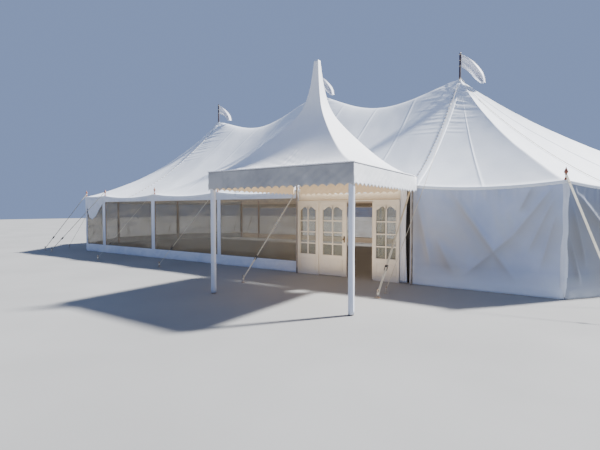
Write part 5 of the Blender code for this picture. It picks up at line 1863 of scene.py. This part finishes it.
def smooth_point(points, share):
    """A point on a smooth curve through four points at equal shares."""
    place = min(share * 3, 2.9999)
    index = int(place)
    t = place - index
    p0 = points[max(index - 1, 0)]
    p1, p2 = points[index], points[index + 1]
    p3 = points[min(index + 2, 3)]
    second = 2 * p0 - 5 * p1 + 4 * p2 - p3
    third = 3 * p1 - p0 - 3 * p2 + p3
    return 0.5 * (2 * p1 + (p2 - p0) * t + second * t ** 2 + third * t ** 3)


def build_poles():
    for index in range(len(POLES)):
        side_pole(index)
        guy(index)
    for label, x, apex, droop in zip(KING_LABELS, KING_XS, KING_APEXES, FLAG_DROOPS):
        king_pole(label, x, apex)
        pennant(label, x, apex, droop)
    storm_ropes()


# Doors

def prism(bm, outline, low_y, high_y, bevel=0.0):
    """A solid between two depths whose outline, (x, z), is seen from the front."""
    part = bmesh.new()
    front = [part.verts.new((x, low_y, z)) for x, z in outline]
    back = [part.verts.new((x, high_y, z)) for x, z in outline]
    count = len(outline)
    face = part.faces.new(front)
    part.faces.new(list(reversed(back)))
    for index in range(count):
        after = (index + 1) % count
        part.faces.new((front[after], front[index], back[index], back[after]))
    if bevel:
        bmesh.ops.bevel(part, geom=face.edges[:], offset=bevel, segments=2, profile=0.6, affect="EDGES")
    bmesh.ops.triangulate(part, faces=[item for item in part.faces if len(item.verts) > 4])
    bmesh.ops.recalc_face_normals(part, faces=part.faces)
    add_part(bm, part)


def rectangle(low_x, high_x, low_z, high_z):
    return [(low_x, low_z), (high_x, low_z), (high_x, high_z), (low_x, high_z)]


def swan_neck(outer, inner, base):
    """Underside of a pane's head: it climbs from the outer side and curls down at the middle bar."""
    points = []
    for index in range(21):
        share = index / 20
        climb = float(smoothstep(0.0, 0.66, share)) + 0.12 * math.sin(math.pi * share)
        curl = 0.62 * float(smoothstep(0.76, 0.98, share))
        points.append((outer + (inner - outer) * share, base + HEAD_RISE * (climb - curl)))
    return points


def glazing(name, low_x, high_x, outer_y, body, swing=None):
    """Bars and swan-neck heads over a pane, two columns by four rows, and the raised panel below."""
    bm = bmesh.new()
    front, back = outer_y + 0.001, outer_y + 0.026
    middle = (low_x + high_x) / 2
    half = BAR_WIDTH / 2
    head_base = GLASS_TOP - HEAD_BAND
    sill = GLASS_SILL
    step = (head_base + 0.02 - sill) / 4
    prism(bm, rectangle(middle - half, middle + half, sill, GLASS_TOP - 0.02), front, back, 0.003)
    for row in (1, 2, 3):
        z = sill + row * step
        for start, end in ((low_x, middle - half), (middle + half, high_x)):
            prism(bm, rectangle(start, end, z - half, z + half), front, back, 0.003)
    arch = []
    count = 14
    for index in range(count + 1):
        share = 1 - 2 * index / count
        arch.append((middle + (high_x - low_x) / 2 * share, GLASS_TOP - 0.05 + 0.05 * (1 - share ** 2)))
    under = swan_neck(low_x, middle - half, head_base) + swan_neck(high_x, middle + half, head_base)[::-1]
    prism(bm, under + arch, front, back)
    ledge = rectangle(low_x - 0.012, high_x + 0.012, sill - 0.024, sill)
    prism(bm, ledge, outer_y - 0.012, outer_y + 0.004, 0.004)
    frame_moulding(bm, low_x - 0.014, high_x + 0.014, sill, GLASS_TOP - 0.05, outer_y, 0.014, 0.010)
    panel_high = sill - 0.10
    frame_moulding(bm, low_x - 0.01, high_x + 0.01, PANEL_LOW, panel_high, outer_y, 0.022, 0.012)
    field = rectangle(low_x + 0.03, high_x - 0.03, PANEL_LOW + 0.04, panel_high - 0.04)
    prism(bm, field, outer_y - 0.007, outer_y + 0.002, 0.0065)
    place_detail(bm, name, "door", body, swing)


def frame_moulding(bm, low_x, high_x, low_z, high_z, outer_y, width, rise):
    """Four strips of moulding round a rectangle."""
    for x0, x1, z0, z1 in (
        (low_x, low_x + width, low_z, high_z),
        (high_x - width, high_x, low_z, high_z),
        (low_x + width, high_x - width, low_z, low_z + width),
        (low_x + width, high_x - width, high_z - width, high_z),
    ):
        prism(bm, rectangle(x0, x1, z0, z1), outer_y - rise, outer_y + 0.002, 0.4 * width)


def place_detail(bm, name, material, body, swing=None):
    if swing is not None:
        bmesh.ops.transform(bm, matrix=swing, verts=bm.verts)
    obj = bm_object(name, bm, material, 35.0)
    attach(obj, body)


def lock_set(name, x, outer_y, body, swing=None):
    """A dark lock plate with a turned knob outside, and the same knob inside."""
    bm = bmesh.new()
    prism(bm, rectangle(x - LOCK_HALF, x + LOCK_HALF, *LOCK_SPAN), outer_y - LOCK_RISE, outer_y, 0.003)
    for side, face in ((-1, outer_y - LOCK_RISE), (1, DOOR_INNER_Y)):
        stem = Vector((x, face, KNOB_HEIGHT))
        reach = KNOB_REACH - 0.018
        add_rod(bm, stem, stem + Vector((0.0, side * reach, 0.0)), STEM_RADIUS, 14)
    for y in (outer_y - KNOB_REACH, DOOR_INNER_Y + KNOB_REACH):
        place = Matrix.Translation((x, y, KNOB_HEIGHT)) @ Matrix.Diagonal((1.0, KNOB_FLATNESS, 1.0, 1.0))
        add_ball(bm, place, KNOB_RADIUS + 0.0012, *KNOB_GRID)
    keyhole = [(x - 0.005, 0.955), (x + 0.005, 0.955), (x + 0.007, 0.985), (x - 0.007, 0.985)]
    prism(bm, keyhole, outer_y - 0.006, outer_y, 0.001)
    place_detail(bm, name, "knob", body, swing)


def build_doors():
    for node in ("door_frame", "door_leaf_left", "door_leaf_right"):
        finish_node(node, "door")
    for node in ("side_glass_left", "side_glass_right", "door_leaf_left_glass", "door_leaf_right_glass"):
        finish_node(node, "glass")
    frame_y = DOOR_INNER_Y - DOOR_SET_DEPTH
    leaf_y = DOOR_INNER_Y - LEAF_THICKNESS
    doorway_left = DOOR_SET_LEFT + SIDE_LIGHT_WIDTH
    doorway_right = DOOR_SET_RIGHT - SIDE_LIGHT_WIDTH
    leaves = doorway_right - doorway_left - 3 * LEAF_CLEARANCE
    left_width, right_width = (leaves + LEAF_DIFFERENCE) / 2, (leaves - LEAF_DIFFERENCE) / 2
    left_x = doorway_left + LEAF_CLEARANCE
    right_x = doorway_right - LEAF_CLEARANCE - right_width
    hinge_x = doorway_right - LEAF_CLEARANCE / 2
    hinge_y = DOOR_INNER_Y + HINGE_OFFSET
    swing = (
        Matrix.Translation((hinge_x, hinge_y, 0.0))
        @ Matrix.Rotation(math.radians(-RIGHT_LEAF_REST_DEG), 4, "Z")
        @ Matrix.Translation((-hinge_x, -hinge_y, 0.0))
    )
    inset = SIDE_LIGHT_STILE
    glazing("side_light_bars_left", DOOR_SET_LEFT + inset, doorway_left - inset, frame_y, "tent")
    glazing("side_light_bars_right", doorway_right + inset, DOOR_SET_RIGHT - inset, frame_y, "tent")
    glazing("leaf_bars_left", left_x + STILE_WIDTH, left_x + left_width - STILE_WIDTH, leaf_y, "left_leaf")
    right_pane = (right_x + STILE_WIDTH, right_x + right_width - STILE_WIDTH)
    glazing("leaf_bars_right", *right_pane, leaf_y, "right_leaf", swing)
    left_knob = doorway_left + LEAF_CLEARANCE / 2 + left_width - STILE_WIDTH / 2
    lock_set("lock_left", left_knob, leaf_y, "left_leaf")
    lock_set("lock_right", hinge_x - (right_width - STILE_WIDTH / 2), leaf_y, "right_leaf", swing)
    bm = bmesh.new()
    top = DOOR_SET_HEIGHT
    head = rectangle(DOOR_SET_LEFT + 0.004, DOOR_SET_RIGHT - 0.004, top - 0.030, top - 0.004)
    prism(bm, head, frame_y - 0.012, frame_y + 0.002, 0.006)
    for x in (DOOR_SET_LEFT, doorway_left - 0.055, doorway_right + 0.015, DOOR_SET_RIGHT - 0.04):
        prism(bm, rectangle(x, x + 0.040, 0.004, top - 0.031), frame_y - 0.006, frame_y + 0.002, 0.004)
    place_detail(bm, "door_frame_trim", "door", "tent")


def main():
    build_roof()
    build_porch()
    build_walls()
    build_poles()
    build_doors()


make_camera()
make_light()
make_floor()
main()
